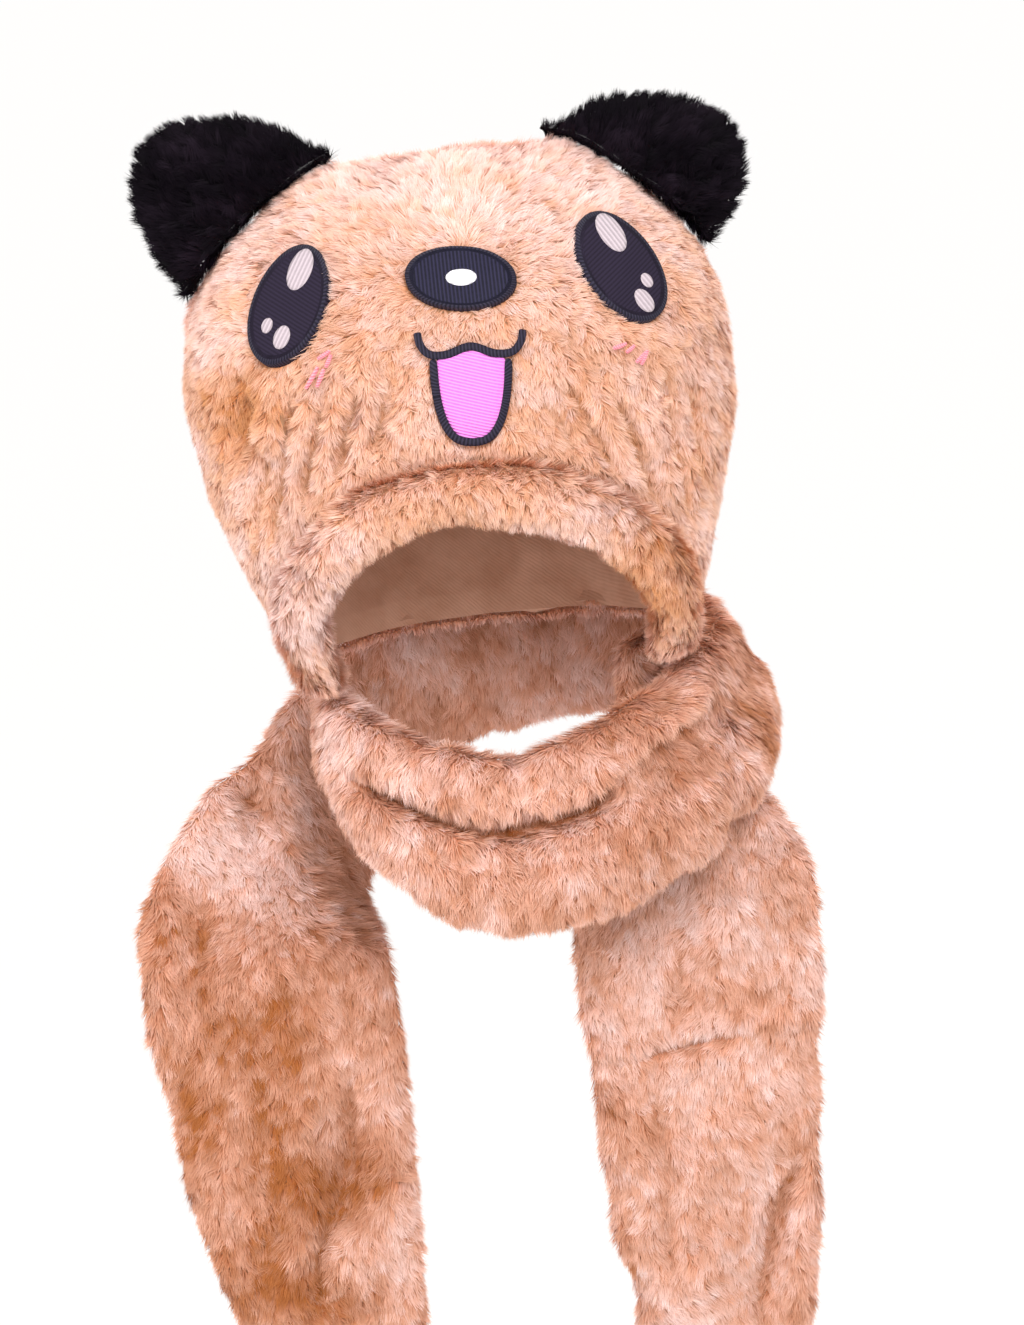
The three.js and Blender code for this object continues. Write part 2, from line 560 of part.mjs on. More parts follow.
function muzzle(part, ground) {
  const noseCentre = new THREE.Vector2(0, CROWN_TOP - MUZZLE_DOWN);
  const onNose = onFace(noseCentre, MUZZLE_TILT);
  const nose = named('nose', patch(7, PATCH_THICK, PATCH_GAP, ground, (x, z) => (
    onNose(x * NOSE_WIDTH / 2, z * NOSE_HEIGHT / 2)
  )), { color: 0x1a1728, ...satin });
  part.add(nose);
  const glint = patch(4, GLINT_THICK, GLINT_GAP, frontOf(nose), (x, z) => (
    onNose(x * NOSE_GLINT_WIDTH / 2, z * NOSE_GLINT_HEIGHT / 2)
  ));
  part.add(named('nose_glint', glint, { color: 0xf2eef6, ...satin }));

  const onMouth = onFace(onNose(MOUTH_SIDE, -MOUTH_DROP), MUZZLE_TILT);
  const curve = new THREE.CatmullRomCurve3(mouthRows.map((row) => (
    new THREE.Vector3(row.across * MOUTH_SPAN / 2, row.rise * MOUTH_RISE, 0)
  )));
  const line = ribbon(26, LINE_WIDTH, PATCH_THICK, PATCH_GAP, ground, (u) => {
    const point = curve.getPoint(u);
    return onMouth(point.x, point.y);
  });
  part.add(named('mouth_line', line, { color: 0x1b1826, ...satin }));

  // The dark edge hangs from the mouth line, and the tongue fills it
  const lineLow = (x) => {
    const at = x / (MOUTH_SPAN / 2);
    return MOUTH_RISE * sample(mouthRows, at, 'across', 'rise') - LINE_WIDTH / 2;
  };
  const edgeHalf = (TONGUE_WIDTH + LINE_WIDTH) / 2 + GAP;
  const edgeTop = lineLow(edgeHalf) - LINE_WIDTH / 2;
  const edgePath = (u) => {
    const angle = Math.PI * (1 + u);
    const x = edgeHalf * power(Math.cos(angle), 0.72);
    return onMouth(x, edgeTop - (TONGUE_LENGTH + LINE_WIDTH / 2) * Math.abs(Math.sin(angle)) ** 0.95);
  };
  const edge = ribbon(20, LINE_WIDTH, PATCH_THICK, PATCH_GAP, ground, edgePath);
  part.add(named('tongue_edge', edge, { color: 0x2a1b2c, ...satin }));

  const tongueHalf = TONGUE_WIDTH / 2 - GAP;
  const tongueTop = edgeTop - GAP;
  const tongue = patch(7, PATCH_THICK, PATCH_GAP, ground, (dx, dz) => {
    const x = tongueHalf * power(dx, 0.8);
    const reach = Math.sqrt(Math.max(1 - dx * dx, 1e-9));
    const share = THREE.MathUtils.clamp(dz / reach, -1, 1);
    const low = (TONGUE_LENGTH - 2 * GAP) * reach;
    const high = Math.max(lineLow(x) - GAP - 1 - tongueTop, 0) * reach;
    return onMouth(x, tongueTop + (share < 0 ? share * low : share * high));
  });
  part.add(named('tongue', tongue, { color: 0xf08ad9, ...satin }));
}

const RING_EVEN = 0.25;          // evens out the points along the strip's flat faces

// Section of the scarf: across is the strip's upper edge side, out its outer face
function scarfRing(frame, angle, r) {
  const even = angle + RING_EVEN * Math.sin(2 * angle);
  const across = power(Math.cos(even), 0.72) * frame.wide / 2;
  let out = power(Math.sin(even), 0.8) * frame.thick / 2;
  const share = across / (frame.wide / 2);
  for (const fold of frame.folds) {
    const off = (share - fold.at) / fold.broad;
    if (Math.sign(out) === fold.face) out -= fold.face * fold.depth * Math.exp(-off * off);
  }
  return frame.centre.clone()
    .addScaledVector(frame.across, r * across)
    .addScaledVector(frame.out, r * out);
}

// How far a place at or under the hood's lower edge lies inside it, on the way out from the neck
function insideHood(point) {
  const down = Math.min((CROWN_TOP - point.z) / HOOD_HEIGHT, 1);
  const side = point.y < 0 ? -1 : 1;
  const half = sample(hoodRows, down, 'down', 'wide') * HALF_WIDTH;
  const deep = side < 0
    ? sample(hoodRows, down, 'down', 'front') * HOOD_FRONT
    : sample(hoodRows, down, 'down', 'back') * HOOD_BACK;
  const x = Math.abs(point.x + HOOD_LEAN * sample(hoodRows, down, 'down', 'lean')) / half;
  const y = Math.abs(point.y) / deep;
  const share = (x ** CORNER + y ** CORNER) ** (1 / CORNER);
  const radius = Math.hypot(point.x, point.y);
  return radius / share + SEAT_GAP - radius;
}

const SEAT_DEPTH = 0.07;         // share of the strip's width under the edge that must clear it
const LOOP_VALLEY = { at: 0.22, broad: 0.19 };     // place of the loop's long fold
const longEnd = HOOD_BOTTOM - LONG_DROP;
const shortEnd = HOOD_BOTTOM - SHORT_DROP;
const seamHeight = HOOD_BOTTOM - CROSS_SEAM;

// Stations of the long side: the loop's rows and then the hanging rows
function longStations() {
  const loop = loopRows.map((row) => ({
    x: row.side * LOOP_WIDTH / 2,
    y: LOOP_BACK + row.fore * LOOP_DEPTH / 2,
    z: HOOD_BOTTOM - row.down * SCARF_WIDTH,
    ...row,
  }));
  const hanging = longRows.map((row) => ({
    ...row,
    x: row.side * SCARF_WIDTH,
    y: LOOP_BACK + row.fore * SCARF_WIDTH,
    z: HOOD_BOTTOM - row.down * LONG_DROP,
    lean: 0,
    valley: 0,
  }));
  return [...loop, ...hanging].map((row, i) => ({ ...row, i }));
}

function longFrame(stations, curve, s) {
  const at = s * (stations.length - 1);
  const value = (column) => sample(stations, at, 'i', column);
  const centre = curve.getPoint(s);
  const ahead = curve.getTangent(s);
  const spin = value('spin') * degrees;
  const up = new THREE.Vector3(-Math.sin(spin), 0, Math.cos(spin));
  const out = ahead.clone().cross(up).normalize();
  up.addScaledVector(out, -value('lean'));
  out.crossVectors(ahead, up).normalize();
  const across = out.clone().cross(ahead).normalize();
  const drop = (HOOD_BOTTOM - centre.z) / LONG_DROP;
  const hangs = at > loopRows.length - 3;
  const folds = [{ ...LOOP_VALLEY, face: 1, depth: value('valley') * VALLEY_DEPTH }];
  if (hangs) folds.push(...fallingFolds(longFolds, drop, -1));
  return {
    centre,
    across,
    out,
    wide: value('wide') * SCARF_WIDTH,
    thick: value('thick') * SCARF_THICK,
    folds,
  };
}

// Folds of a hanging side at one height. flip is -1 where the strip's out is its back
function fallingFolds(rows, drop, flip) {
  const easing = 0.08;
  return rows.map((row) => {
    const rise = THREE.MathUtils.smoothstep(drop, row.from, row.from + easing);
    const fall = 1 - THREE.MathUtils.smoothstep(drop, row.to - easing, row.to);
    return {
      at: row.at * flip,
      broad: row.broad,
      face: row.face * flip,
      depth: row.deep * VALLEY_DEPTH * rise * fall,
    };
  });
}

// Moves a section of the loop that rises past the hood's lower edge out until it clears it
function seated(frame, around) {
  const ring = [];
  for (let i = 0; i < around; i += 1) ring.push(scarfRing(frame, 2 * Math.PI * i / around, 1));
  const top = Math.max(...ring.map((point) => point.z));
  if (top < HOOD_BOTTOM - GAP) return frame;
  const near = ring.filter((point) => point.z > HOOD_BOTTOM - SCARF_WIDTH * SEAT_DEPTH);
  const push = Math.max(0, ...near.map(insideHood));
  const away = new THREE.Vector3(frame.centre.x, frame.centre.y, 0).normalize();
  frame.centre.addScaledVector(away, push);
  return frame;
}

// Where along the long side its middle comes down to the crosswise seam
function heightOn(curve, z, from) {
  let low = from;
  let high = 1;
  for (let i = 0; i < 40; i += 1) {
    const middle = (low + high) / 2;
    if (curve.getPoint(middle).z > z) low = middle;
    else high = middle;
  }
  return low;
}

function longSide(part) {
  const around = 18;
  const stations = longStations();
  const curve = new THREE.CatmullRomCurve3(stations.map(({ x, y, z }) => new THREE.Vector3(x, y, z)));
  const seam = heightOn(curve, seamHeight, (loopRows.length - 1) / (stations.length - 1));
  const piece = (steps, from, to, shift) => {
    const frames = new Map();
    return tube(around, steps, (angle, v, r) => {
      if (!frames.has(v)) {
        const frame = longFrame(stations, curve, from + (to - from) * v);
        frames.set(v, seated(frame, around));
      }
      const point = scarfRing(frames.get(v), angle, r);
      point.z += shift;
      return point;
    });
  };
  const look = { color: 0xc78a68, ...plush };
  part.add(named('scarf_long', piece(47, 0, seam, 0), look));
  part.add(named('scarf_long_end', piece(12, seam, 1, -GAP), look));
}

function shortSide(part) {
  const around = 18;
  const frameAt = (drop) => {
    const value = (column) => sample(shortRows, drop, 'down', column);
    const turn = value('turn') * degrees;
    return {
      centre: new THREE.Vector3(
        value('side') * SCARF_WIDTH,
        LOOP_BACK + value('fore') * SCARF_WIDTH,
        HOOD_BOTTOM - GAP - drop * SHORT_DROP,
      ),
      across: new THREE.Vector3(Math.cos(turn), Math.sin(turn), 0),
      out: new THREE.Vector3(Math.sin(turn), -Math.cos(turn), 0),
      wide: value('wide') * SCARF_WIDTH,
      thick: value('thick') * SCARF_THICK,
      folds: fallingFolds(shortFolds, drop, 1),
    };
  };
  const piece = (steps, from, to, shift) => tube(around, steps, (angle, v, r) => {
    const point = scarfRing(frameAt(from + (to - from) * v), angle, r);
    point.z += shift;
    return point;
  });
  const seam = (HOOD_BOTTOM - GAP - seamHeight) / SHORT_DROP;
  const look = { color: 0xc98f6e, ...plush };
  part.add(named('scarf_short', piece(18, 0, seam, 0), look));
  part.add(named('scarf_short_end', piece(12, seam, 1, -GAP), look));
}

const part = new THREE.Group();
hood(part);
rim(part);
const ground = frontOf(part.getObjectByName('face_panel'));
eyes(part, ground);
muzzle(part, ground);
longSide(part);
shortSide(part);

export default part;
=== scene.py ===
import math
import bmesh
import bpy
import numpy as np
from mathutils import Matrix, Vector, bvhtree, kdtree


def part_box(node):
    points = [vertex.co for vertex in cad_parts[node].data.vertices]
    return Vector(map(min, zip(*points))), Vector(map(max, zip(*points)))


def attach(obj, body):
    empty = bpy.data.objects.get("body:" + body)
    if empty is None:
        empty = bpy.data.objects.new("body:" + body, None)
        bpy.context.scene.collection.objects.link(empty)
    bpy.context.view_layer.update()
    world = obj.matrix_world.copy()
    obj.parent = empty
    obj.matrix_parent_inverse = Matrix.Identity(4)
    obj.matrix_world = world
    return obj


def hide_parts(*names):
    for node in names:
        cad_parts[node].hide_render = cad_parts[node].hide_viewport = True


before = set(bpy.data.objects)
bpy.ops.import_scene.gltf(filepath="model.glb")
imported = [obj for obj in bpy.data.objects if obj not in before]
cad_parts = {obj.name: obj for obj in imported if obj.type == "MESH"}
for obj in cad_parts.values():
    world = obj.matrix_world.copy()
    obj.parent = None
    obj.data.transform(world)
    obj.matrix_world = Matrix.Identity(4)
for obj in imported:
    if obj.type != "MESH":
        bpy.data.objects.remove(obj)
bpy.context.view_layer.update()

# Animal hood scarf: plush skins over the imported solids, pile as real tapered locks, embroidered
# patches and blush stitches. Metres, +Z up, front towards -Y.

MM = 0.001

# Camera, lights, floor

PHOTO_WIDTH, PHOTO_HEIGHT = 1024, 1325
FOCAL_PIXELS = 3230.0
ELEVATION = math.radians(15)
ROLL = math.radians(6.5)
DISTANCE = 1.7
TARGET = Vector((0.003545, 0.0, -0.262564))

sight = Vector((0, math.cos(ELEVATION), -math.sin(ELEVATION)))
level_right = Vector((1, 0, 0))
level_up = Vector((0, math.sin(ELEVATION), math.cos(ELEVATION)))
cam_right = level_right * math.cos(ROLL) - level_up * math.sin(ROLL)
cam_up = level_right * math.sin(ROLL) + level_up * math.cos(ROLL)
cam_place = TARGET - sight * DISTANCE

camera_data = bpy.data.cameras.new("camera")
camera_data.sensor_fit = "VERTICAL"
camera_data.sensor_height = 36
camera_data.lens = FOCAL_PIXELS / PHOTO_HEIGHT * 36
camera_data.clip_end = 900
camera = bpy.data.objects.new("camera", camera_data)
camera.matrix_world = Matrix((
    (cam_right.x, cam_up.x, -sight.x, cam_place.x),
    (cam_right.y, cam_up.y, -sight.y, cam_place.y),
    (cam_right.z, cam_up.z, -sight.z, cam_place.z),
    (0, 0, 0, 1),
))
bpy.context.scene.collection.objects.link(camera)
bpy.context.scene.camera = camera


def pixel_ray(px, py):
    """Direction from the camera through a pixel of the photograph's frame."""
    ray = (sight + cam_right * ((px - PHOTO_WIDTH / 2) / FOCAL_PIXELS)
           - cam_up * ((py - PHOTO_HEIGHT / 2) / FOCAL_PIXELS))
    return ray.normalized()


def light(name, place, aim, size, power, color):
    data = bpy.data.lights.new(name, "AREA")
    data.shape = "DISK"
    data.size = size
    data.energy = power
    data.color = color
    obj = bpy.data.objects.new(name, data)
    obj.location = place
    obj.rotation_euler = (Vector(aim) - Vector(place)).to_track_quat("-Z", "Y").to_euler()
    bpy.context.scene.collection.objects.link(obj)


light("key", (0.35, -1.7, 1.0), (0, 0, -0.3), 0.9, 26, (1.0, 0.96, 0.95))
light("side", (-1.4, -1.2, 0.3), (0, 0, -0.4), 1.1, 11, (1.0, 0.95, 0.95))
light("back", (0.2, 1.6, 1.1), (0, 0, -0.2), 1.4, 22, (1.0, 0.97, 0.95))

world = bpy.data.worlds.new("studio")
world.use_nodes = True
world.node_tree.nodes["Background"].inputs["Color"].default_value = (1.0, 0.985, 0.975, 1)
world.node_tree.nodes["Background"].inputs["Strength"].default_value = 1.06
bpy.context.scene.world = world
bpy.context.scene.view_settings.view_transform = "Standard"

# Materials


def material(name):
    mat = bpy.data.materials.new(name)
    mat.use_nodes = True
    return mat, mat.node_tree, mat.node_tree.nodes["Principled BSDF"]


def node(tree, kind, **settings):
    made = tree.nodes.new(kind)
    for key, value in settings.items():
        setattr(made, key, value)
    return made


def ramp(tree, source, stops):
    made = node(tree, "ShaderNodeValToRGB")
    band = made.color_ramp
    while len(band.elements) < len(stops):
        band.elements.new(0.5)
    for element, (place, color) in zip(band.elements, stops):
        element.position = place
        element.color = (*color, 1)
    tree.links.new(source, made.inputs["Fac"])
    return made.outputs["Color"]


def scaled(tree, color, factor):
    made = node(tree, "ShaderNodeVectorMath", operation="SCALE")
    tree.links.new(color, made.inputs[0])
    tree.links.new(factor, made.inputs["Scale"])
    return made.outputs["Vector"]


def mapped(tree, source, low, high):
    made = node(tree, "ShaderNodeMapRange")
    made.inputs["To Min"].default_value = low
    made.inputs["To Max"].default_value = high
    tree.links.new(source, made.inputs["Value"])
    return made.outputs["Result"]


def noise(tree, scale, detail=3.0):
    place = node(tree, "ShaderNodeTexCoord")
    made = node(tree, "ShaderNodeTexNoise")
    made.inputs["Scale"].default_value = scale
    made.inputs["Detail"].default_value = detail
    tree.links.new(place.outputs["Object"], made.inputs["Vector"])
    return made.outputs["Fac"]


def bump(tree, shader, height, strength, distance):
    made = node(tree, "ShaderNodeBump")
    made.inputs["Strength"].default_value = strength
    made.inputs["Distance"].default_value = distance
    tree.links.new(height, made.inputs["Height"])
    tree.links.new(made.outputs["Normal"], shader.inputs["Normal"])


def pile_material(name, pale, middle, deep, root=(0.76, 0.52, 0.36), rough=0.9):
    """Pile: pale to deep by the brushed zone and its painted light and shade, darker and warmer at the root as
    painted shade between the locks, every lock a little different.
    """
    mat, tree, shader = material(name)
    own = node(tree, "ShaderNodeAttribute", attribute_name="pile")
    parts = node(tree, "ShaderNodeSeparateColor")
    tree.links.new(own.outputs["Color"], parts.inputs["Color"])
    color = ramp(tree, parts.outputs["Blue"], [(0.0, pale), (0.5, middle), (1.0, deep)])
    # Painted shade: each lock darker and warmer towards its root, where it lies under the others.
    root_painted_shade = ramp(tree, parts.outputs["Red"], [(0.0, root), (0.75, (1.0, 1.0, 1.0))])
    tinted = node(tree, "ShaderNodeVectorMath", operation="MULTIPLY")
    tree.links.new(color, tinted.inputs[0])
    tree.links.new(root_painted_shade, tinted.inputs[1])
    color = scaled(tree, tinted.outputs["Vector"], mapped(tree, parts.outputs["Green"], 0.89, 1.10))
    color = scaled(tree, color, mapped(tree, noise(tree, 70), 0.90, 1.10))
    tree.links.new(color, shader.inputs["Base Color"])
    shader.inputs["Roughness"].default_value = rough
    shader.inputs["Specular IOR Level"].default_value = 0.06
    return mat


def backing_material(name, deep, light_tone):
    """The knitted backing that shows between the locks and inside the hood."""
    mat, tree, shader = material(name)
    color = ramp(tree, noise(tree, 45, 4), [(0.3, deep), (0.7, light_tone)])
    tree.links.new(color, shader.inputs["Base Color"])
    shader.inputs["Roughness"].default_value = 0.92
    shader.inputs["Specular IOR Level"].default_value = 0.2
    shader.inputs["Sheen Weight"].default_value = 0.2
    place = node(tree, "ShaderNodeTexCoord")
    knit = node(tree, "ShaderNodeTexWave", wave_type="BANDS", bands_direction="DIAGONAL")
    knit.inputs["Scale"].default_value = 260
    knit.inputs["Distortion"].default_value = 2.5
    knit.inputs["Detail"].default_value = 2
    tree.links.new(place.outputs["Object"], knit.inputs["Vector"])
    bump(tree, shader, knit.outputs["Fac"], 0.25, 0.0004)
    return mat


def thread_material(name, low, high, rough=0.42, depth=0.0006, fleck=900):
    """Embroidery: stitch ridges come from the piece's own stitch phase; their crests carry painted highlight and
    their grooves painted shade.
    """
    mat, tree, shader = material(name)
    own = node(tree, "ShaderNodeAttribute", attribute_name="stitch")
    wave = node(tree, "ShaderNodeMath", operation="SINE")
    tree.links.new(own.outputs["Fac"], wave.inputs[0])
    height = mapped(tree, wave.outputs["Value"], 0.0, 1.0)
    height.node.inputs["From Min"].default_value = -1
    grain = noise(tree, fleck, 2)
    ridge_shade_and_grain = node(tree, "ShaderNodeMath", operation="MULTIPLY_ADD")
    ridge_shade_and_grain.inputs[1].default_value = 0.55
    tree.links.new(grain, ridge_shade_and_grain.inputs[0])
    tree.links.new(height, ridge_shade_and_grain.inputs[2])
    # Painted highlight on the stitch crests and painted shade in the grooves, with random grain.
    color = ramp(tree, ridge_shade_and_grain.outputs["Value"], [(0.25, low), (1.0, high)])
    tree.links.new(color, shader.inputs["Base Color"])
    shader.inputs["Roughness"].default_value = rough
    shader.inputs["Specular IOR Level"].default_value = 0.2
    bump(tree, shader, ridge_shade_and_grain.outputs["Value"], 0.8, depth)
    return mat


CAMEL = dict(pale=(0.96, 0.74, 0.69), middle=(0.90, 0.57, 0.41), deep=(0.72, 0.34, 0.15))
ROSE = dict(pale=(0.94, 0.68, 0.62), middle=(0.84, 0.50, 0.40), deep=(0.62, 0.28, 0.17))
SCARF = dict(pale=(1.0, 0.79, 0.75), middle=(0.80, 0.46, 0.335), deep=(0.48, 0.17, 0.055))
pile_camel = pile_material("plush_camel_pile", **CAMEL)
pile_rose = pile_material("plush_rose_pile", **ROSE)
pile_scarf = pile_material("plush_scarf_pile", **SCARF)
pile_black = pile_material(
    "plush_black_pile", (0.020, 0.013, 0.022), (0.005, 0.003, 0.006), (0.003, 0.002, 0.004),
    root=(0.35, 0.30, 0.35), rough=0.6)
back_camel = backing_material("plush_camel_backing", (0.62, 0.33, 0.17), (0.76, 0.46, 0.28))
back_rose = backing_material("plush_rose_backing", (0.54, 0.29, 0.19), (0.70, 0.42, 0.30))
back_scarf = backing_material("plush_scarf_backing", (0.50, 0.22, 0.11), (0.64, 0.32, 0.19))
back_black = backing_material("plush_black_backing", (0.003, 0.002, 0.004), (0.006, 0.004, 0.008))
satin_field = thread_material("satin_dark_field", (0.009, 0.005, 0.015), (0.018, 0.012, 0.030), 0.75, 0.0002)
satin_nose = thread_material("satin_dark_ribs", (0.004, 0.004, 0.010), (0.022, 0.020, 0.052), 0.6, 0.0006)
satin_edge = thread_material("satin_dark_edge", (0.006, 0.005, 0.012), (0.030, 0.026, 0.050), 0.55, 0.0006)
satin_lilac = thread_material("satin_pale_thread", (0.40, 0.34, 0.37), (0.56, 0.48, 0.52), 0.7)
satin_white = thread_material("satin_white_thread", (0.80, 0.78, 0.84), (0.97, 0.95, 0.98), 0.45)
satin_pink = thread_material("satin_pink_thread", (0.78, 0.17, 0.70), (0.92, 0.32, 0.82), 0.6, 0.0006)
satin_blush = thread_material("satin_blush_thread", (0.84, 0.20, 0.26), (0.96, 0.38, 0.44), 0.6, 0.0004)

# Meshes


def new_object(name, mesh, mat):
    obj = bpy.data.objects.new(name, mesh)
    bpy.context.scene.collection.objects.link(obj)
    obj.data.materials.clear()
    obj.data.materials.append(mat)
    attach(obj, "root")
    return obj


def smoothstep(value, low, high):
    t = np.clip((value - low) / (high - low), 0, 1)
    return t * t * (3 - 2 * t)


def unit(vectors):
    return vectors / np.maximum(np.linalg.norm(vectors, axis=-1, keepdims=True), 1e-9)


def ripple(points, wave, seed, terms=7):
    """A smooth random field, about -1 to 1, with that wavelength in metres."""
    rng = np.random.default_rng(seed)
    total = np.zeros(len(points))
    for _ in range(terms):
        way = rng.normal(size=3)
        way *= 2 * math.pi / wave * rng.uniform(0.6, 1.5) / np.linalg.norm(way)
        total += np.sin(points @ way + rng.uniform(0, 2 * math.pi))
    return total / math.sqrt(terms) * 0.9


def read_points(mesh):
    co = np.empty(len(mesh.vertices) * 3, np.float32)
    mesh.vertices.foreach_get("co", co)
    return co.reshape(-1, 3).astype(float)


def read_normals(mesh):
    no = np.empty(len(mesh.vertices) * 3, np.float32)
    mesh.vertices.foreach_get("normal", no)
    return no.reshape(-1, 3).astype(float)


def open_seam(bm, apart):
    """Joins two solids that meet end to end: their facing caps go and their rims are welded."""
    lookup = kdtree.KDTree(len(bm.verts))
    for i, vert in enumerate(bm.verts):
        lookup.insert(vert.co, i)
    lookup.balance()
    met = {i for i, vert in enumerate(bm.verts) if len(lookup.find_range(vert.co, apart)) > 1}
    bm.verts.ensure_lookup_table()
    caps = [face for face in bm.faces if all(vert.index in met for vert in face.verts)]
    bmesh.ops.delete(bm, geom=caps, context="FACES_ONLY")
    loose = [vert for vert in bm.verts if not vert.link_faces]
    bmesh.ops.delete(bm, geom=loose, context="VERTS")
    bmesh.ops.remove_doubles(bm, verts=[v for v in bm.verts if v.is_boundary], dist=apart)


def smooth_mesh(name, cads, level):
    """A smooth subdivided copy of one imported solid, or of two that are sewn end to end."""
    bm = bmesh.new()
    for cad in cads:
        bm.from_mesh(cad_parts[cad].data)
    bmesh.ops.remove_doubles(bm, verts=bm.verts, dist=2e-5)
    bm.verts.index_update()
    if len(cads) > 1:
        open_seam(bm, 0.45 * MM)
    bmesh.ops.recalc_face_normals(bm, faces=bm.faces)
    bmesh.ops.join_triangles(bm, faces=bm.faces, angle_face_threshold=0.9, angle_shape_threshold=1.0)
    mesh = bpy.data.meshes.new(name)
    bm.to_mesh(mesh)
    bm.free()
    rough = bpy.data.objects.new(name + "_rough", mesh)
    bpy.context.scene.collection.objects.link(rough)
    subdivided = rough.modifiers.new("smooth", "SUBSURF")
    subdivided.levels = level
    subdivided.render_levels = level
    depsgraph = bpy.context.evaluated_depsgraph_get()
    result = bpy.data.meshes.new_from_object(rough.evaluated_get(depsgraph))
    bpy.data.objects.remove(rough)
    result.materials.clear()
    return result


def outwardness(points, normals):
    """0 on the inner face of the hood's walls, 1 on the outer."""
    middle = np.array((-0.004, 0.0, -0.14))
    away = points - middle
    away[:, 2] *= 0.75
    return smoothstep(np.sum(unit(away) * normals, axis=1), -0.15, 0.35)


def every_side(points, normals):
    return np.ones(len(points))


def tree_of(mesh):
    return bvhtree.BVHTree.FromPolygons(
        [v.co.copy() for v in mesh.vertices], [list(p.vertices) for p in mesh.polygons])


SOFT = ["face_panel", "hood_back", "face_rim", "ear_left", "ear_right",
        "scarf_long", "scarf_long_end", "scarf_short", "scarf_short_end"]
cad_trees = [tree_of(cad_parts[cad].data) for cad in SOFT]


def seen(px, py):
    """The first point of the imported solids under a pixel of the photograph."""
    ray = pixel_ray(px, py)
    best = None
    for tree in cad_trees:
        hit, _, _, far = tree.ray_cast(cam_place, ray)
        if hit is not None and (best is None or far < best[1]):
            best = (hit, far)
    return best[0] if best else None


# Folds that the photograph shows: how deep and how broad in mm, and the pixels they run through.
# A negative depth is a ridge.
HOOD_FOLDS = [
    (10.0, 10, [(226, 372), (240, 410), (238, 445)]),
    (-4.0, 8, [(262, 360), (266, 410), (260, 450)]),
    (8.5, 4.2, [(289, 398), (280, 465), (266, 540)]),
    (-2.5, 4.5, [(303, 400), (296, 450), (286, 505)]),
    (9.0, 4.2, [(320, 400), (312, 440), (298, 495)]),
    (-2.5, 4.5, [(336, 392), (328, 436), (318, 480)]),
    (8.5, 4.2, [(352, 390), (342, 430), (334, 470)]),
    (-2.0, 4.5, [(368, 392), (360, 426), (352, 458)]),
    (7.0, 4.2, [(385, 400), (379, 425), (371, 450)]),
    (7.0, 4.2, [(262, 455), (254, 500), (250, 535)]),
    (3.0, 6.0, [(404, 330), (396, 372), (384, 400)]),
    (8.5, 4.2, [(668, 370), (682, 440), (694, 510)]),
    (-2.5, 4.5, [(654, 380), (668, 450), (680, 510)]),
    (6.5, 4.2, [(700, 395), (708, 480)]),
    (8.0, 4.2, [(618, 395), (640, 450), (660, 500)]),
    (-2.5, 4.5, [(602, 400), (622, 445), (640, 485)]),
    (7.5, 4.2, [(570, 385), (596, 430), (616, 465)]),
    (5.0, 4.5, [(540, 395), (562, 420), (580, 445)]),
    (3.5, 7.0, [(560, 325), (590, 356), (614, 380)]),
    (2.5, 6.0, [(512, 405), (530, 424), (546, 440)]),
]
SCARF_FOLDS = [
    (14.0, 4.2, [(352, 775), (384, 792), (430, 812), (480, 827), (530, 822), (580, 808), (618, 788)]),
    (-6.5, 6.0, [(338, 745), (384, 772), (434, 794), (480, 808), (526, 804), (580, 789), (630, 757),
                 (676, 716), (700, 690)]),
    (-3.0, 18, [(420, 860), (500, 880), (600, 860), (690, 800)]),
    (6.0, 5, [(600, 790), (624, 766), (656, 742), (700, 722)]),
    (3.0, 6, [(420, 838), (450, 858), (500, 862)]),
    (9.0, 8, [(250, 783), (258, 803)]),
    (5.0, 8, [(203, 890), (202, 960)]),
    (4.0, 8, [(250, 1010), (268, 1075)]),
    (8.0, 6, [(348, 1070), (350, 1140), (340, 1200), (322, 1260), (314, 1325)]),
    (-4.0, 9, [(300, 1080), (303, 1150), (294, 1220), (284, 1300)]),
    (-3.0, 10, [(384, 1060), (390, 1150), (395, 1240)]),
    (7.0, 10, [(335, 1300), (360, 1322)]),
    (5.0, 4.0, [(583, 1064), (640, 1058), (680, 1047), (740, 1034), (826, 1024)]),
    (-2.5, 4.5, [(583, 1048), (640, 1042), (680, 1031), (740, 1018), (826, 1008)]),
    (7.0, 5.5, [(800, 1160), (780, 1210), (770, 1260), (766, 1322)]),
    (-3.0, 9, [(812, 1190), (803, 1260), (800, 1322)]),
    (8.0, 6, [(735, 818), (745, 835)]),
    (4.5, 7, [(655, 1080), (668, 1180), (672, 1290)]),
    (5.0, 6, [(686, 870), (682, 980), (676, 1030)]),
    (-2.0, 12, [(720, 860), (730, 960)]),
]


DEEPEST_FOLD = 13 * MM


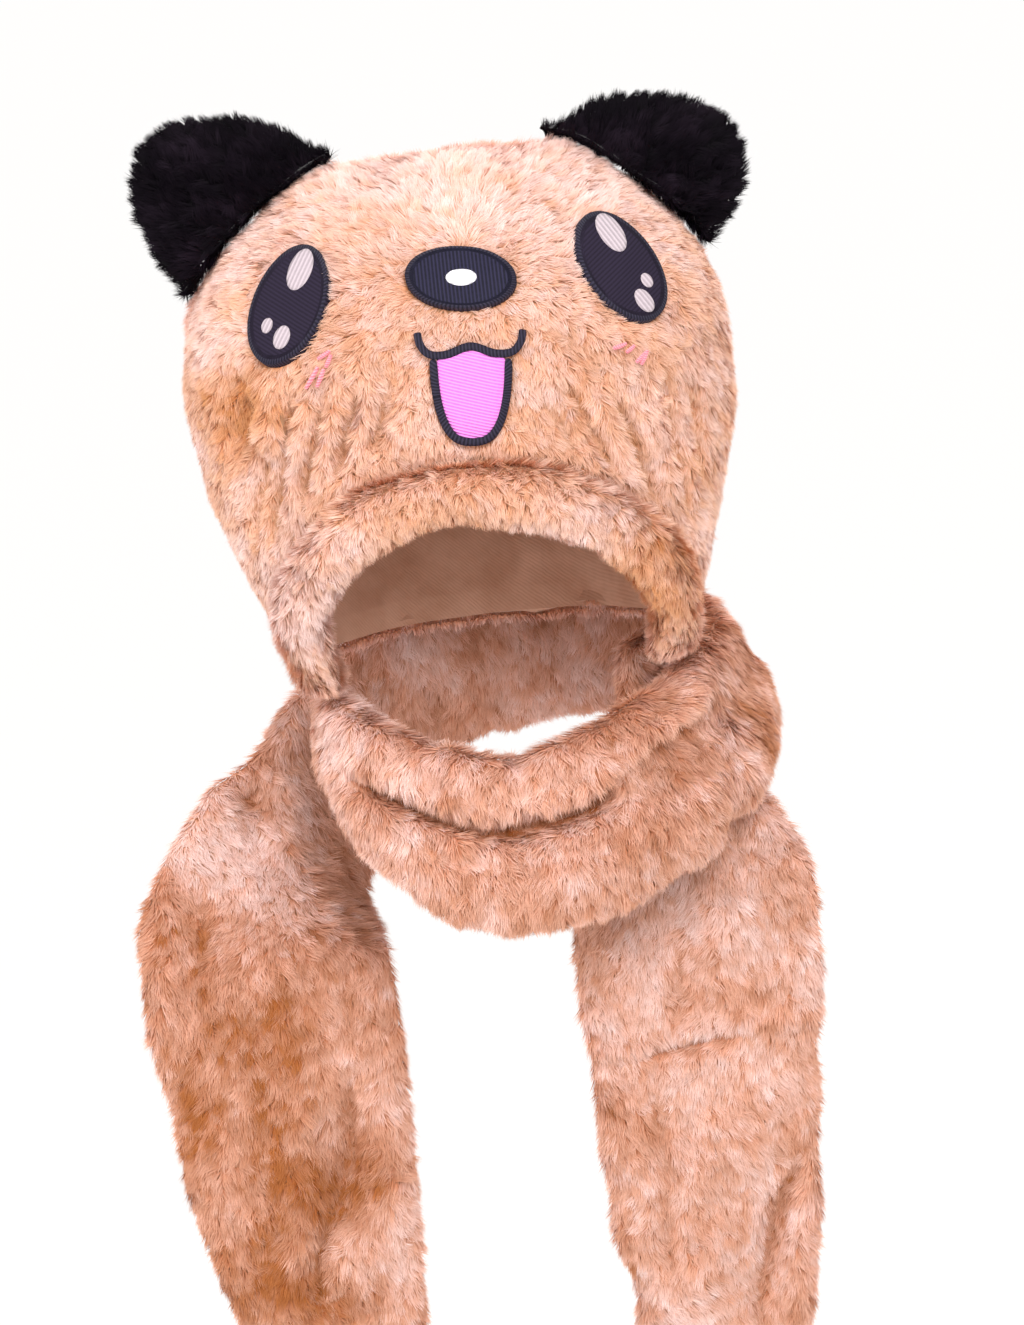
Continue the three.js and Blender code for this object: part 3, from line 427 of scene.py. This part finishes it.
def folded(points, normals, folds, through):
    """How far each point lies under the smooth surface, in metres, for one table of folds.
    A fold goes through a wall that is as thick as the last value says."""
    total = np.zeros(len(points))
    for depth, radius, pixels in folds:
        line = [seen(px, py) for px, py in pixels]
        line = [np.array(spot) for spot in line if spot is not None]
        if len(line) < 2:
            continue
        lengths = [np.linalg.norm(b - a) for a, b in zip(line, line[1:])]
        run = sum(lengths)
        best = np.full(len(points), 1.0)
        where = np.zeros(len(points))
        passed = 0.0
        for a, b, length in zip(line, line[1:], lengths):
            if length < 1e-6:
                continue
            t = np.clip((points - a) @ (b - a) / length ** 2, 0, 1)
            off = points - a - t[:, None] * (b - a)
            depth_off = np.sum(off * normals, axis=1)
            sideways = np.linalg.norm(off - normals * depth_off[:, None], axis=1)
            away = np.hypot(sideways, np.maximum(np.abs(depth_off) - through, 0))
            nearer = away < best
            best[nearer] = away[nearer]
            where[nearer] = (passed + t[nearer] * length) / run
            passed += length
        ease = smoothstep(np.minimum(where, 1 - where), -0.10, 0.14)
        total += depth * MM * ease * np.exp(-(best / (radius * MM)) ** 2)
    return np.where(total > 0, DEEPEST_FOLD * np.tanh(total / DEEPEST_FOLD), total)


PILE_DEPTH = 3.4 * MM
SKIN_BELOW = 0.7 * MM
COARSE_SKIN_BELOW = 1.6 * MM
SEAM_LAP = 1.6 * MM
NAPE_DROP = 9 * MM
HOOD_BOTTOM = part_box("hood_back")[0].z
SEAM_Y = (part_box("hood_back")[0].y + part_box("face_panel")[1].y) / 2


def no_move(points, normals):
    return np.zeros_like(points)


def to_seam(points, normals):
    """The two hood panels meet at their seam; the back one hangs down into the loop through to_seam_and_nape."""
    move = np.zeros_like(points)
    near = smoothstep(np.abs(points[:, 1] - SEAM_Y), 5 * MM, 1 * MM)
    move[:, 1] = near * np.sign(SEAM_Y - points[:, 1]) * SEAM_LAP
    return move


def to_seam_and_nape(points, normals):
    move = to_seam(points, normals)
    low = smoothstep(points[:, 2], HOOD_BOTTOM + 30 * MM, HOOD_BOTTOM)
    move[:, 2] -= low * smoothstep(points[:, 1], SEAM_Y - 20 * MM, SEAM_Y + 12 * MM) * NAPE_DROP
    return move


HOOD_WALL = 13 * MM
SCARF_WALL = 4 * MM


def shaped(name, cads, level, outer, folds, move, seed, wobble, depth):
    """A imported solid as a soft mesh: smoothed, rippled and folded, let in by that depth."""
    mesh = smooth_mesh(name, cads, level)
    points, normals = read_points(mesh), read_normals(mesh)
    share = outer(points, normals)
    fold = folded(points, normals, folds, HOOD_WALL if folds is HOOD_FOLDS else SCARF_WALL)
    swell = ripple(points, 55 * MM, seed) * wobble * MM + ripple(points, 22 * MM, seed + 50) * wobble * 0.45 * MM
    letting_in = share * (swell - depth) - (2 * share - 1) * fold
    shifted = points + normals * letting_in[:, None] + move(points, normals)
    mesh.vertices.foreach_set("co", shifted.astype(np.float32).ravel())
    mesh.attributes.new("fold", "FLOAT", "POINT").data.foreach_set("value", fold.astype(np.float32))
    mesh.update()
    return mesh


coats = {}


def make_skin(name, cads, mat, levels, outer, folds, move, seed, wobble, depth=PILE_DEPTH):
    """The backing that shows, and the finer coat that the pile grows from."""
    coats[cads[0]] = shaped(name + "_coat", cads, levels[1], outer, folds, move, seed, wobble, depth)
    below = SKIN_BELOW if levels[0] == levels[1] else COARSE_SKIN_BELOW
    mesh = shaped(name, cads, levels[0], outer, folds, move, seed, wobble, depth + below)
    obj = new_object(name, mesh, mat)
    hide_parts(*cads)
    return obj


skins = {
    "face_panel": make_skin("plush_face_panel", ["face_panel"], back_camel, (1, 2),
                            outwardness, HOOD_FOLDS, to_seam, 11, 0.8),
    "hood_back": make_skin("plush_hood_back", ["hood_back"], back_rose, (1, 2),
                           outwardness, [], to_seam_and_nape, 12, 1.8),
    "face_rim": make_skin("plush_face_rim", ["face_rim"], back_camel, (1, 2),
                          every_side, [], no_move, 13, 1.2, 2.4 * MM),
    "ear_left": make_skin("plush_ear_left", ["ear_left"], back_black, (1, 2),
                          every_side, [], no_move, 14, 0.8),
    "ear_right": make_skin("plush_ear_right", ["ear_right"], back_black, (1, 2),
                           every_side, [], no_move, 15, 0.8),
    "scarf_long": make_skin("plush_scarf_long", ["scarf_long", "scarf_long_end"], back_scarf,
                            (2, 2), every_side, SCARF_FOLDS, no_move, 16, 1.6),
    "scarf_short": make_skin("plush_scarf_short", ["scarf_short", "scarf_short_end"], back_scarf,
                             (2, 2), every_side, SCARF_FOLDS, no_move, 17, 1.6),
}
face_tree = tree_of(coats["face_panel"])


def front_of_face(x, z):
    """The face panel's skin, seen from the front."""
    hit = face_tree.ray_cast(Vector((x, -1, z)), Vector((0, 1, 0)))[0]
    return hit if hit is not None else Vector((x, -0.1, z))


def facing(x, z):
    """The way that the face panel faces there."""
    return face_tree.ray_cast(Vector((x, -1, z)), Vector((0, 1, 0)))[1]


# Face patches


def ellipse_of(cad):
    """Centre, half axes and turn of a flat oval solid, as seen from the front."""
    points = read_points(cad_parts[cad].data)
    flat = points[:, [0, 2]]
    middle = (flat.min(0) + flat.max(0)) / 2
    best = None
    for turn in np.linspace(0, math.pi, 181)[:-1]:
        long_way = np.array((math.cos(turn), math.sin(turn)))
        cross_way = np.array((-math.sin(turn), math.cos(turn)))
        length = np.ptp(flat @ long_way)
        if best is None or length > best[0]:
            best = (length, turn, np.ptp(flat @ cross_way))
    return middle, best[0] / 2, best[2] / 2, best[1]


def oval_patch(name, cad, field, edge, lift, rim_share=0.0, ribs=None, rings=14, turns=96):
    """A domed oval of embroidery on the face, with an optional raised satin border."""
    middle, half_long, half_short, turn = ellipse_of(cad)
    c, s = math.cos(turn), math.sin(turn)
    away = Vector((0, 0, 0))
    for a, b in ((0, 0), (0.7, 0), (-0.7, 0), (0, 0.7), (0, -0.7), (0.45, 0.45), (-0.45, -0.45)):
        a, b = a * half_long, b * half_short
        away += facing(middle[0] + a * c - b * s, middle[1] + a * s + b * c)
    away.normalize()
    shares = np.concatenate([np.linspace(0, 1, rings), [1.0]])
    verts, stitch, faces, looks = [], [], [], []
    for k, share in enumerate(shares):
        last = k == len(shares) - 1
        for j in range(turns):
            angle = 2 * math.pi * j / turns
            a, b = share * math.cos(angle) * half_long, share * math.sin(angle) * half_short
            x, z = middle[0] + a * c - b * s, middle[1] + a * s + b * c
            on_rim = rim_share > 0 and share > 1 - rim_share
            crown = 0.5 * MM * (1 - share ** 4)
            if on_rim:
                t = (share - (1 - rim_share)) / rim_share
                crown = 0.7 * MM * math.sin(math.pi * min(0.12 + 0.76 * t, 1))
            spot = front_of_face(x, z)
            verts.append(spot if last else spot + away * (lift + crown))
            rib = a if ribs is None else (a * c - b * s if ribs == "upright" else b)
            around = angle * (half_long + half_short) / 2
            stitch.append(around / (0.8 * MM) * math.pi if on_rim else rib / (0.9 * MM) * math.pi)
    for k in range(len(shares) - 1):
        for j in range(turns):
            i = (j + 1) % turns
            faces.append((k * turns + j, k * turns + i, (k + 1) * turns + i, (k + 1) * turns + j))
            looks.append(1 if rim_share > 0 and shares[k] >= 1 - rim_share - 1e-6 else 0)
    mesh = bpy.data.meshes.new(name)
    mesh.from_pydata(verts, [], faces)
    mesh.attributes.new("stitch", "FLOAT", "POINT").data.foreach_set("value", stitch)
    obj = new_object(name, mesh, field)
    if edge is not None:
        mesh.materials.append(edge)
        mesh.polygons.foreach_set("material_index", looks)
    bm = bmesh.new()
    bm.from_mesh(mesh)
    bmesh.ops.remove_doubles(bm, verts=bm.verts, dist=1e-6)
    bmesh.ops.recalc_face_normals(bm, faces=bm.faces)
    if bm.faces and sum(f.normal.y for f in bm.faces) > 0:
        bmesh.ops.reverse_faces(bm, faces=bm.faces)
    for face in bm.faces:
        face.smooth = True
    bm.to_mesh(mesh)
    bm.free()
    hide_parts(cad)
    return obj


PATCH_LIFT = 5.0 * MM
for side in ("left", "right"):
    oval_patch(f"embroidered_eye_{side}", f"eye_{side}", satin_field, satin_edge, PATCH_LIFT, 0.15)
    for i in (1, 2, 3):
        oval_patch(f"embroidered_glint_{side}_{i}", f"glint_{side}_{i}", satin_lilac, None,
                   PATCH_LIFT + 0.6 * MM, 0.0, "across", 6, 32)
oval_patch("embroidered_nose", "nose", satin_nose, satin_edge, PATCH_LIFT, 0.14, "upright")
oval_patch("embroidered_nose_glint", "nose_glint", satin_white, None,
           PATCH_LIFT + 0.6 * MM, 0.0, "across", 6, 40)


def drawn_patch(name, cad, mat, phase, sink, spread, lengthen=0.0, level=2):
    """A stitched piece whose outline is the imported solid's own, let down into the pile."""
    mesh = smooth_mesh(name, [cad], level)
    points = read_points(mesh)
    points[:, 1] += sink
    points[:, [0, 2]] += read_normals(mesh)[:, [0, 2]] * spread
    top = points[:, 2].max()
    points[:, 2] += smoothstep(points[:, 2], top - 6 * MM, top) * lengthen
    mesh.vertices.foreach_set("co", points.astype(np.float32).ravel())
    mesh.attributes.new("stitch", "FLOAT", "POINT").data.foreach_set("value", phase(points))
    mesh.update()
    obj = new_object(name, mesh, mat)
    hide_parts(cad)
    return obj


tongue_low, tongue_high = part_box("tongue")
tongue_middle = np.array(((tongue_low.x + tongue_high.x) / 2, (tongue_low.z * 0.45 + tongue_high.z * 0.55)))


def across_phase(points):
    return points[:, 0] / (0.85 * MM) * math.pi


def brick_phase(points):
    return (points[:, 2] * 1.0 + points[:, 0] * 0.35) / (0.8 * MM) * math.pi


def round_phase(points):
    angle = np.arctan2(points[:, 2] - tongue_middle[1], points[:, 0] - tongue_middle[0])
    return angle * 22 * MM / (0.85 * MM) * math.pi


drawn_patch("embroidered_mouth_line", "mouth_line", satin_edge, across_phase, 1.3 * MM, 0.2 * MM)
drawn_patch("embroidered_tongue_edge", "tongue_edge", satin_edge, round_phase, 1.6 * MM, 0.3 * MM,
            1.4 * MM)
drawn_patch("embroidered_tongue", "tongue", satin_pink, brick_phase, 2.2 * MM, 1.3 * MM)

# Where no pile grows: inside the patches, as distance outside their outline in metres
PATCHES = ["eye_left", "eye_right", "nose"]
ovals = [ellipse_of(cad) for cad in PATCHES]
drawn = {}
for cad in ("mouth_line", "tongue_edge", "tongue"):
    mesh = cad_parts[cad].data
    drawn[cad] = bvhtree.BVHTree.FromPolygons(
        [v.co.copy() for v in mesh.vertices], [list(p.vertices) for p in mesh.polygons])


def patch_distance(points):
    """Distance in the face's plane to the nearest embroidered edge, negative inside it."""
    flat = points[:, [0, 2]]
    best = np.full(len(points), 1.0)
    for middle, half_long, half_short, turn in ovals:
        c, s = math.cos(turn), math.sin(turn)
        off = flat - middle
        a = off[:, 0] * c + off[:, 1] * s
        b = -off[:, 0] * s + off[:, 1] * c
        share = np.sqrt((a / half_long) ** 2 + (b / half_short) ** 2)
        away = np.hypot(a, b)
        best = np.minimum(best, away * (1 - 1 / np.maximum(share, 1e-6)))
    near = (points[:, 1] < 0) & (np.abs(flat[:, 0]) < 0.06) & (flat[:, 1] < -0.06) & (flat[:, 1] > -0.15)
    for i in np.nonzero(near)[0]:
        x, z = flat[i]
        for tree in drawn.values():
            hit, _, _, far = tree.find_nearest(Vector((x, points[i, 1] - 3 * MM, z)))
            gap = math.hypot(hit.x - x, hit.z - z)
            if tree.ray_cast(Vector((x, -1, z)), Vector((0, 1, 0)))[0] is not None:
                gap = -1 * MM
            best[i] = min(best[i], gap)
    return best


# Pile


def scatter(mesh, spacing, rng, keep=None):
    """Random points over a mesh, one for each square of that spacing, with normals and fold depths."""
    mesh.calc_loop_triangles()
    corners = np.empty(len(mesh.loop_triangles) * 3, np.int32)
    mesh.loop_triangles.foreach_get("vertices", corners)
    corners = corners.reshape(-1, 3)
    points, normals = read_points(mesh), read_normals(mesh)
    fold = np.empty(len(points), np.float32)
    mesh.attributes["fold"].data.foreach_get("value", fold)
    a, b, c = (points[corners[:, k]] for k in range(3))
    area = np.linalg.norm(np.cross(b - a, c - a), axis=1) / 2
    ends = np.cumsum(area)
    count = int(ends[-1] / spacing ** 2)
    spots = (np.arange(count) + rng.random(count)) / count * ends[-1]
    which = np.minimum(np.searchsorted(ends, spots), len(area) - 1)
    r1, r2 = np.sqrt(rng.random(count)), rng.random(count)
    weights = np.stack([1 - r1, r1 * (1 - r2), r1 * r2], axis=1)
    place = sum(weights[:, k, None] * points[corners[which, k]] for k in range(3))
    normal = unit(sum(weights[:, k, None] * normals[corners[which, k]] for k in range(3)))
    depth = sum(weights[:, k] * fold[corners[which, k]] for k in range(3))
    if keep is not None:
        chosen = keep(place, normal)
        place, normal, depth = place[chosen], normal[chosen], depth[chosen]
    return place, normal, depth


def along_surface(way, normal):
    return unit(way - normal * np.sum(way * normal, axis=1, keepdims=True))


def spun(way, normal, angle):
    """Turns tangent directions about their normals."""
    return way * np.cos(angle)[:, None] + np.cross(normal, way) * np.sin(angle)[:, None]


SOFT_SHADE = 0.3
HIDDEN_SHARE = 0.45
SWIRL = 0.25
AWAY = np.array((0.0, 1.0, -0.2))


def pile(name, coat, mat, comb, zone, length, lean, seed, keep=None, trim=None, spacing=0.72,
         width=0.62, tuft=4.5, gather=0.5, curl=0.45, thin_away=True, raise_near=None):
    """Fine tapered locks over a coat, gathered into tufts, sparser and wider on the far side."""
    rng = np.random.default_rng(seed)
    tuft_place, tuft_normal, tuft_fold = scatter(coat, tuft * MM, rng)
    lookup = kdtree.KDTree(len(tuft_place))
    for i, place in enumerate(tuft_place):
        lookup.insert(place, i)
    lookup.balance()
    root, normal, fold = scatter(coat, spacing * MM, rng, keep)
    half = np.full(len(root), width * MM / 2)
    if thin_away:
        far_side = smoothstep(normal @ AWAY, 0.1, 0.4)
        left = rng.random(len(root)) < 1 - far_side * (1 - HIDDEN_SHARE)
        root, normal, fold = root[left], normal[left], fold[left]
        half = half[left] * (1 + 0.5 * far_side[left])
    total = len(root)
    jitter = rng.normal(size=root.shape) * tuft * 0.2 * MM
    owner = np.array([lookup.find(place)[1] for place in root + jitter])

    def heads(place, up, turn):
        flow = spun(along_surface(comb(place, up), up), up, turn)
        return up * math.cos(lean) + flow * math.sin(lean)

    tuft_turn = rng.normal(size=len(tuft_place)) * curl + ripple(tuft_place, 40 * MM, seed + 3) * SWIRL
    tuft_length = length * MM * rng.uniform(0.85, 1.12, len(tuft_place))
    tuft_length *= 1 - np.clip(tuft_fold / (20 * MM), -0.3, 0.3)
    if trim is not None:
        tuft_length *= trim(tuft_place)
    tuft_tip = tuft_place + heads(tuft_place, tuft_normal, tuft_turn) * tuft_length[:, None]

    own_length = tuft_length[owner] * rng.uniform(0.6, 1.12, total)
    tip = root + heads(root, normal, tuft_turn[owner] + rng.normal(size=total) * 0.25) * own_length[:, None]
    pull = (gather * rng.uniform(0.4, 1.1, total))[:, None]
    tip = tip * (1 - pull) + tuft_tip[owner] * pull
    if raise_near is not None:
        tip += normal * raise_near(root)[:, None]
    across = unit(np.cross(tip - root, normal))
    twist = rng.normal(size=total) * 0.3
    across = unit(across * np.cos(twist)[:, None] + normal * np.sin(twist)[:, None])
    half = (half * rng.uniform(0.75, 1.25, total))[:, None]

    vary = 0.5 * rng.random(total) + 0.5 * rng.random(len(tuft_place))[owner]
    # Painted shade: the pile is darker in the fold valleys, where shade falls.
    painted_crease_shade = FOLD_PAINTED_SHADE * np.clip(fold / (7 * MM), 0, 1) ** 1.2
    ground = np.clip(zone(root), 0, 1)
    tone = ground + painted_crease_shade * (1 - ground) ** 1.5 + 0.10 * rng.normal(size=len(tuft_place))[owner]
    tone = np.clip(tone, 0, 1)
    points = np.stack([root - across * half, root + across * half, tip], axis=1).reshape(-1, 3)
    mesh = bpy.data.meshes.new(name)
    mesh.vertices.add(len(points))
    mesh.loops.add(len(points))
    mesh.polygons.add(total)
    mesh.vertices.foreach_set("co", points.astype(np.float32).ravel())
    mesh.loops.foreach_set("vertex_index", np.arange(len(points), dtype=np.int32))
    mesh.polygons.foreach_set("loop_start", np.arange(total, dtype=np.int32) * 3)
    shade = np.stack([np.tile((0.0, 0.0, 1.0), total), np.repeat(vary, 3), np.repeat(tone, 3),
                      np.ones(len(points))], axis=1)
    mesh.attributes.new("pile", "FLOAT_COLOR", "POINT").data.foreach_set("color", shade.astype(np.float32).ravel())
    mesh.update(calc_edges=True)
    own = unit(np.cross(across, tip - root))
    own *= np.sign(np.sum(own * normal, axis=1, keepdims=True))
    soft = unit(normal * SOFT_SHADE + own * (1 - SOFT_SHADE))
    mesh.normals_split_custom_set_from_vertices(np.repeat(soft, 3, axis=0).astype(np.float32))
    return new_object(name, mesh, mat)


# How much painted shade the deepest fold valleys get.
FOLD_PAINTED_SHADE = 0.9


def outer_only(place, normal):
    near_seam = np.abs(place[:, 1] - SEAM_Y) < 6 * MM
    near_bottom = place[:, 2] < HOOD_BOTTOM + 8 * MM
    return outwardness(place.copy(), normal) > np.where(near_seam | near_bottom, 0.15, 0.6)


def face_keep(place, normal):
    return outer_only(place, normal) & ((patch_distance(place) > -0.4 * MM) | (place[:, 1] > 0))


nose_middle = Vector((*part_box("nose")[0],)).lerp(Vector((*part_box("nose")[1],)), 0.5)


def face_comb(place, normal):
    way = place - np.array(nose_middle)
    way[:, 1] = 0
    way = unit(way + np.array((0, 0, -0.012)))
    hang = smoothstep(nose_middle.z - place[:, 2], 5 * MM, 50 * MM)[:, None]
    return way * (1 - 0.85 * hang) + np.array((0, 0, -1)) * hang


def back_comb(place, normal):
    return np.tile((0.0, 0.1, -1.0), (len(place), 1))


def rim_comb(place, normal):
    way = np.array((0.0, place[:, 1].min() - 0.03, -0.27)) - place
    way[:, 0] *= 0.2
    way[:, 1] *= 0.5
    return way


def hang_comb(place, normal):
    swing = ripple(place, 90 * MM, 71)
    return np.stack([0.35 * swing, 0 * swing, -1 + 0 * swing], axis=1)


def ear_comb(place, normal):
    way = place - np.array((0.0, 0.0, -0.10))
    way[:, 1] = 0
    return way


# Brushed places of the pile, with painted light and painted shade where the light falls: pixel of the photograph,
# radius in mm, how deep the tone is
FACE_BRUSH_AND_PAINTED_LIGHT = [
    (440, 165, 45, 0.0), (300, 205, 30, 0.1), (560, 190, 35, 0.05), (350, 250, 25, 0.35), (640, 180, 22, 0.1),
    (240, 420, 18, 1.0), (210, 400, 14, 0.7), (330, 455, 20, 0.5), (400, 430, 18, 0.5), (600, 460, 24, 0.35),
    (680, 440, 18, 0.3), (560, 340, 20, 0.4), (450, 400, 16, 0.3), (200, 330, 14, 0.15), (700, 330, 18, 0.35),
    (275, 470, 14, 0.15), (290, 600, 26, 0.0), (655, 590, 22, 0.8), (460, 490, 24, 0.45), (560, 420, 14, 0.3),
]
SCARF_BRUSH_AND_PAINTED_LIGHT = [
    (330, 690, 24, 0.0), (250, 880, 24, 0.0), (225, 830, 22, 0.0), (270, 800, 12, 0.45), (180, 960, 30, 0.80),
    (200, 1080, 32, 0.85), (300, 1000, 28, 0.72), (330, 880, 18, 0.5), (390, 1080, 20, 0.4), (250, 1180, 28, 0.84),
    (335, 1180, 20, 0.95), (300, 1300, 24, 0.88), (400, 1230, 18, 0.35), (290, 1090, 26, 0.8),
    (225, 1260, 20, 0.8), (240, 945, 18, 0.7), (325, 838, 14, 0.65), (450, 715, 22, 0.5), (480, 770, 22, 0.3),
    (400, 745, 20, 0.45), (420, 870, 22, 0.48), (540, 880, 28, 0.48), (560, 760, 22, 0.5), (640, 850, 22, 0.45),
    (650, 720, 22, 0.55), (730, 640, 26, 0.55), (770, 720, 18, 0.75), (700, 790, 20, 0.6), (640, 1000, 26, 0.3),
    (760, 900, 26, 0.3), (700, 1100, 30, 0.35), (640, 1200, 24, 0.4), (760, 1200, 24, 0.25), (700, 1290, 24, 0.2),
    (800, 1100, 16, 0.5), (590, 960, 18, 0.45), (670, 640, 16, 0.9), (320, 750, 14, 0.5),
]


def zone_from(strokes, ground, wave, depth, seed):
    spots = []
    for px, py, radius, tone in strokes:
        spot = seen(px, py)
        if spot is not None:
            spots.append((np.array(spot), radius * MM, tone))

    def zone(place):
        weight = np.full(len(place), 0.15)
        total = weight * ground
        for spot, radius, tone in spots:
            near = np.exp(-np.sum((place - spot) ** 2, axis=1) / radius ** 2)
            weight += near
            total += near * tone
        mottled = ripple(place, wave * MM, seed) * depth + ripple(place, wave * 0.35 * MM, seed + 9) * depth * 0.6
        return total / weight + mottled
    return zone


face_zone = zone_from(FACE_BRUSH_AND_PAINTED_LIGHT, 0.35, 50, 0.12, 21)
back_zone = zone_from([], 0.4, 60, 0.14, 22)
scarf_zone = zone_from(SCARF_BRUSH_AND_PAINTED_LIGHT, 0.45, 55, 0.14, 23)


def dark_zone(place):
    return 0.5 + ripple(place, 30 * MM, 24) * 0.25


def patch_trim(place):
    gap = patch_distance(place)
    return np.where(place[:, 1] < 0, 0.72 + 0.28 * smoothstep(gap, 1 * MM, 9 * MM), 1.0)


def over_patch(place):
    """The pile laps over the inner edges of the eyes."""
    lap = np.zeros(len(place))
    for middle, half_long, half_short, turn in ovals[:2]:
        inner = (place[:, 0] - middle[0]) * -np.sign(middle[0]) > 0
        reach = np.hypot(place[:, 0] - middle[0], place[:, 2] - middle[1]) < half_long * 1.2
        lap = np.maximum(lap, inner * reach * 1.6 * MM)
    return lap * (place[:, 1] < 0)


ear_lookup_places = []
EAR_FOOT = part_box("ear_left")[0].z - 10 * MM
ear_lookup = kdtree.KDTree(sum(len(coats[f"ear_{side}"].vertices) for side in ("left", "right")))
for side in ("left", "right"):
    for vert in coats[f"ear_{side}"].vertices:
        ear_lookup.insert(vert.co, len(ear_lookup_places))
        ear_lookup_places.append(vert.co)
ear_lookup.balance()


def face_raise(place):
    """The pile stands up beside the ears, over the foot of them, and laps the eyes."""
    lift = over_patch(place)
    for i in np.nonzero((place[:, 2] > EAR_FOOT) & (place[:, 1] > SEAM_Y - 14 * MM))[0]:
        far = ear_lookup.find(place[i])[2]
        lift[i] += 3.5 * MM * max(0.0, 1 - far / (9 * MM))
    return lift


pile("pile_face_panel", coats["face_panel"], pile_camel, face_comb, face_zone,
     7.4, math.radians(56), 31, face_keep, patch_trim, 0.63, 0.56, 4.0, 0.42, thin_away=False, raise_near=face_raise)
pile("pile_hood_back", coats["hood_back"], pile_rose, back_comb, back_zone,
     8.0, math.radians(58), 32, outer_only, None, 0.85, 0.8, thin_away=False)
pile("pile_face_rim", coats["face_rim"], pile_camel, rim_comb, face_zone,
     8.0, math.radians(50), 33, None, None, 0.61, 0.54, tuft=3.4, gather=0.48, curl=0.5, thin_away=False)
for side, seed in (("left", 34), ("right", 35)):
    pile(f"pile_ear_{side}", coats[f"ear_{side}"], pile_black, ear_comb, dark_zone,
         8.5, math.radians(54), seed, None, None, 0.72, 0.62, 4.5, 0.6, thin_away=False)


def between(low, high):
    return lambda place, normal: (place[:, 2] > low) & (place[:, 2] <= high)


for key, low, high, seed in (("loop", -0.335, 1, 36), ("side", -0.48, -0.335, 37), ("end", -1, -0.48, 38)):
    pile(f"pile_scarf_long_{key}", coats["scarf_long"], pile_scarf, hang_comb, scarf_zone,
         8.8, math.radians(64), seed, between(low, high), None, 0.73, 0.62, 4.2, 0.36, 0.35)
for key, low, high, seed in (("top", -0.473, 1, 39), ("end", -1, -0.473, 40)):
    pile(f"pile_scarf_short_{key}", coats["scarf_short"], pile_scarf, hang_comb, scarf_zone,
         8.8, math.radians(64), seed, between(low, high), None, 0.70, 0.60, 4.2, 0.36, 0.35)
for coat in coats.values():
    bpy.data.meshes.remove(coat)

# Blush stitches

# Each stitch: pixel of the photograph where it starts and ends
BLUSH = {
    "left": [(318, 366, 306, 388), (331, 354, 326, 366), (324, 368, 317, 386), (330, 350, 318, 358)],
    "right": [(613, 348, 626, 343), (626, 352, 634, 345), (636, 362, 645, 352), (641, 364, 647, 350)],
}


def blush(side, strokes):
    verts, faces, stitch = [], [], []
    steps, half = 8, 0.8 * MM
    for x0, y0, x1, y1 in strokes:
        first = len(verts)
        start, end = seen(x0, y0), seen(x1, y1)
        across = (end - start).cross(Vector((0, 1, 0))).normalized()
        for k in range(steps + 1):
            t = k / steps
            place = start.lerp(end, t)
            place.y = front_of_face(place.x, place.z).y - 6.6 * MM - 0.8 * MM * math.sin(math.pi * t)
            wide = half * (0.5 + 0.5 * math.sin(math.pi * min(max(t, 0.08), 0.92)))
            for shift, back in ((-1, 0.5), (0, 0), (1, 0.5)):
                verts.append(place + across * wide * shift + Vector((0, back * MM, 0)))
                stitch.append(shift * 2.2 + t * 40)
        for k in range(steps):
            for j in (0, 1):
                a = first + k * 3 + j
                faces.append((a, a + 1, a + 4, a + 3))
    mesh = bpy.data.meshes.new(f"blush_{side}")
    mesh.from_pydata(verts, [], faces)
    mesh.attributes.new("stitch", "FLOAT", "POINT").data.foreach_set("value", stitch)
    thick = new_object(f"blush_{side}", mesh, satin_blush)
    solid = thick.modifiers.new("thread", "SOLIDIFY")
    solid.thickness = 0.5 * MM
    return thick


for side, strokes in BLUSH.items():
    blush(side, strokes)

# Floor

floor_mat, floor_tree, floor_shader = material("floor")
floor_shader.inputs["Base Color"].default_value = (0.95, 0.95, 0.95, 1)
floor_shader.inputs["Roughness"].default_value = 1.0
floor_shader.inputs["Specular IOR Level"].default_value = 0.0
floor_mesh = bpy.data.meshes.new("floor")
FLOOR_REACH, FLOOR_DOWN = 400, -2.2
floor_mesh.from_pydata(
    [(x * FLOOR_REACH, y * FLOOR_REACH, FLOOR_DOWN) for x, y in ((-1, -1), (1, -1), (1, 1), (-1, 1))],
    [], [(0, 1, 2, 3)])
floor = bpy.data.objects.new("floor", floor_mesh)
bpy.context.scene.collection.objects.link(floor)
floor_mesh.materials.append(floor_mat)
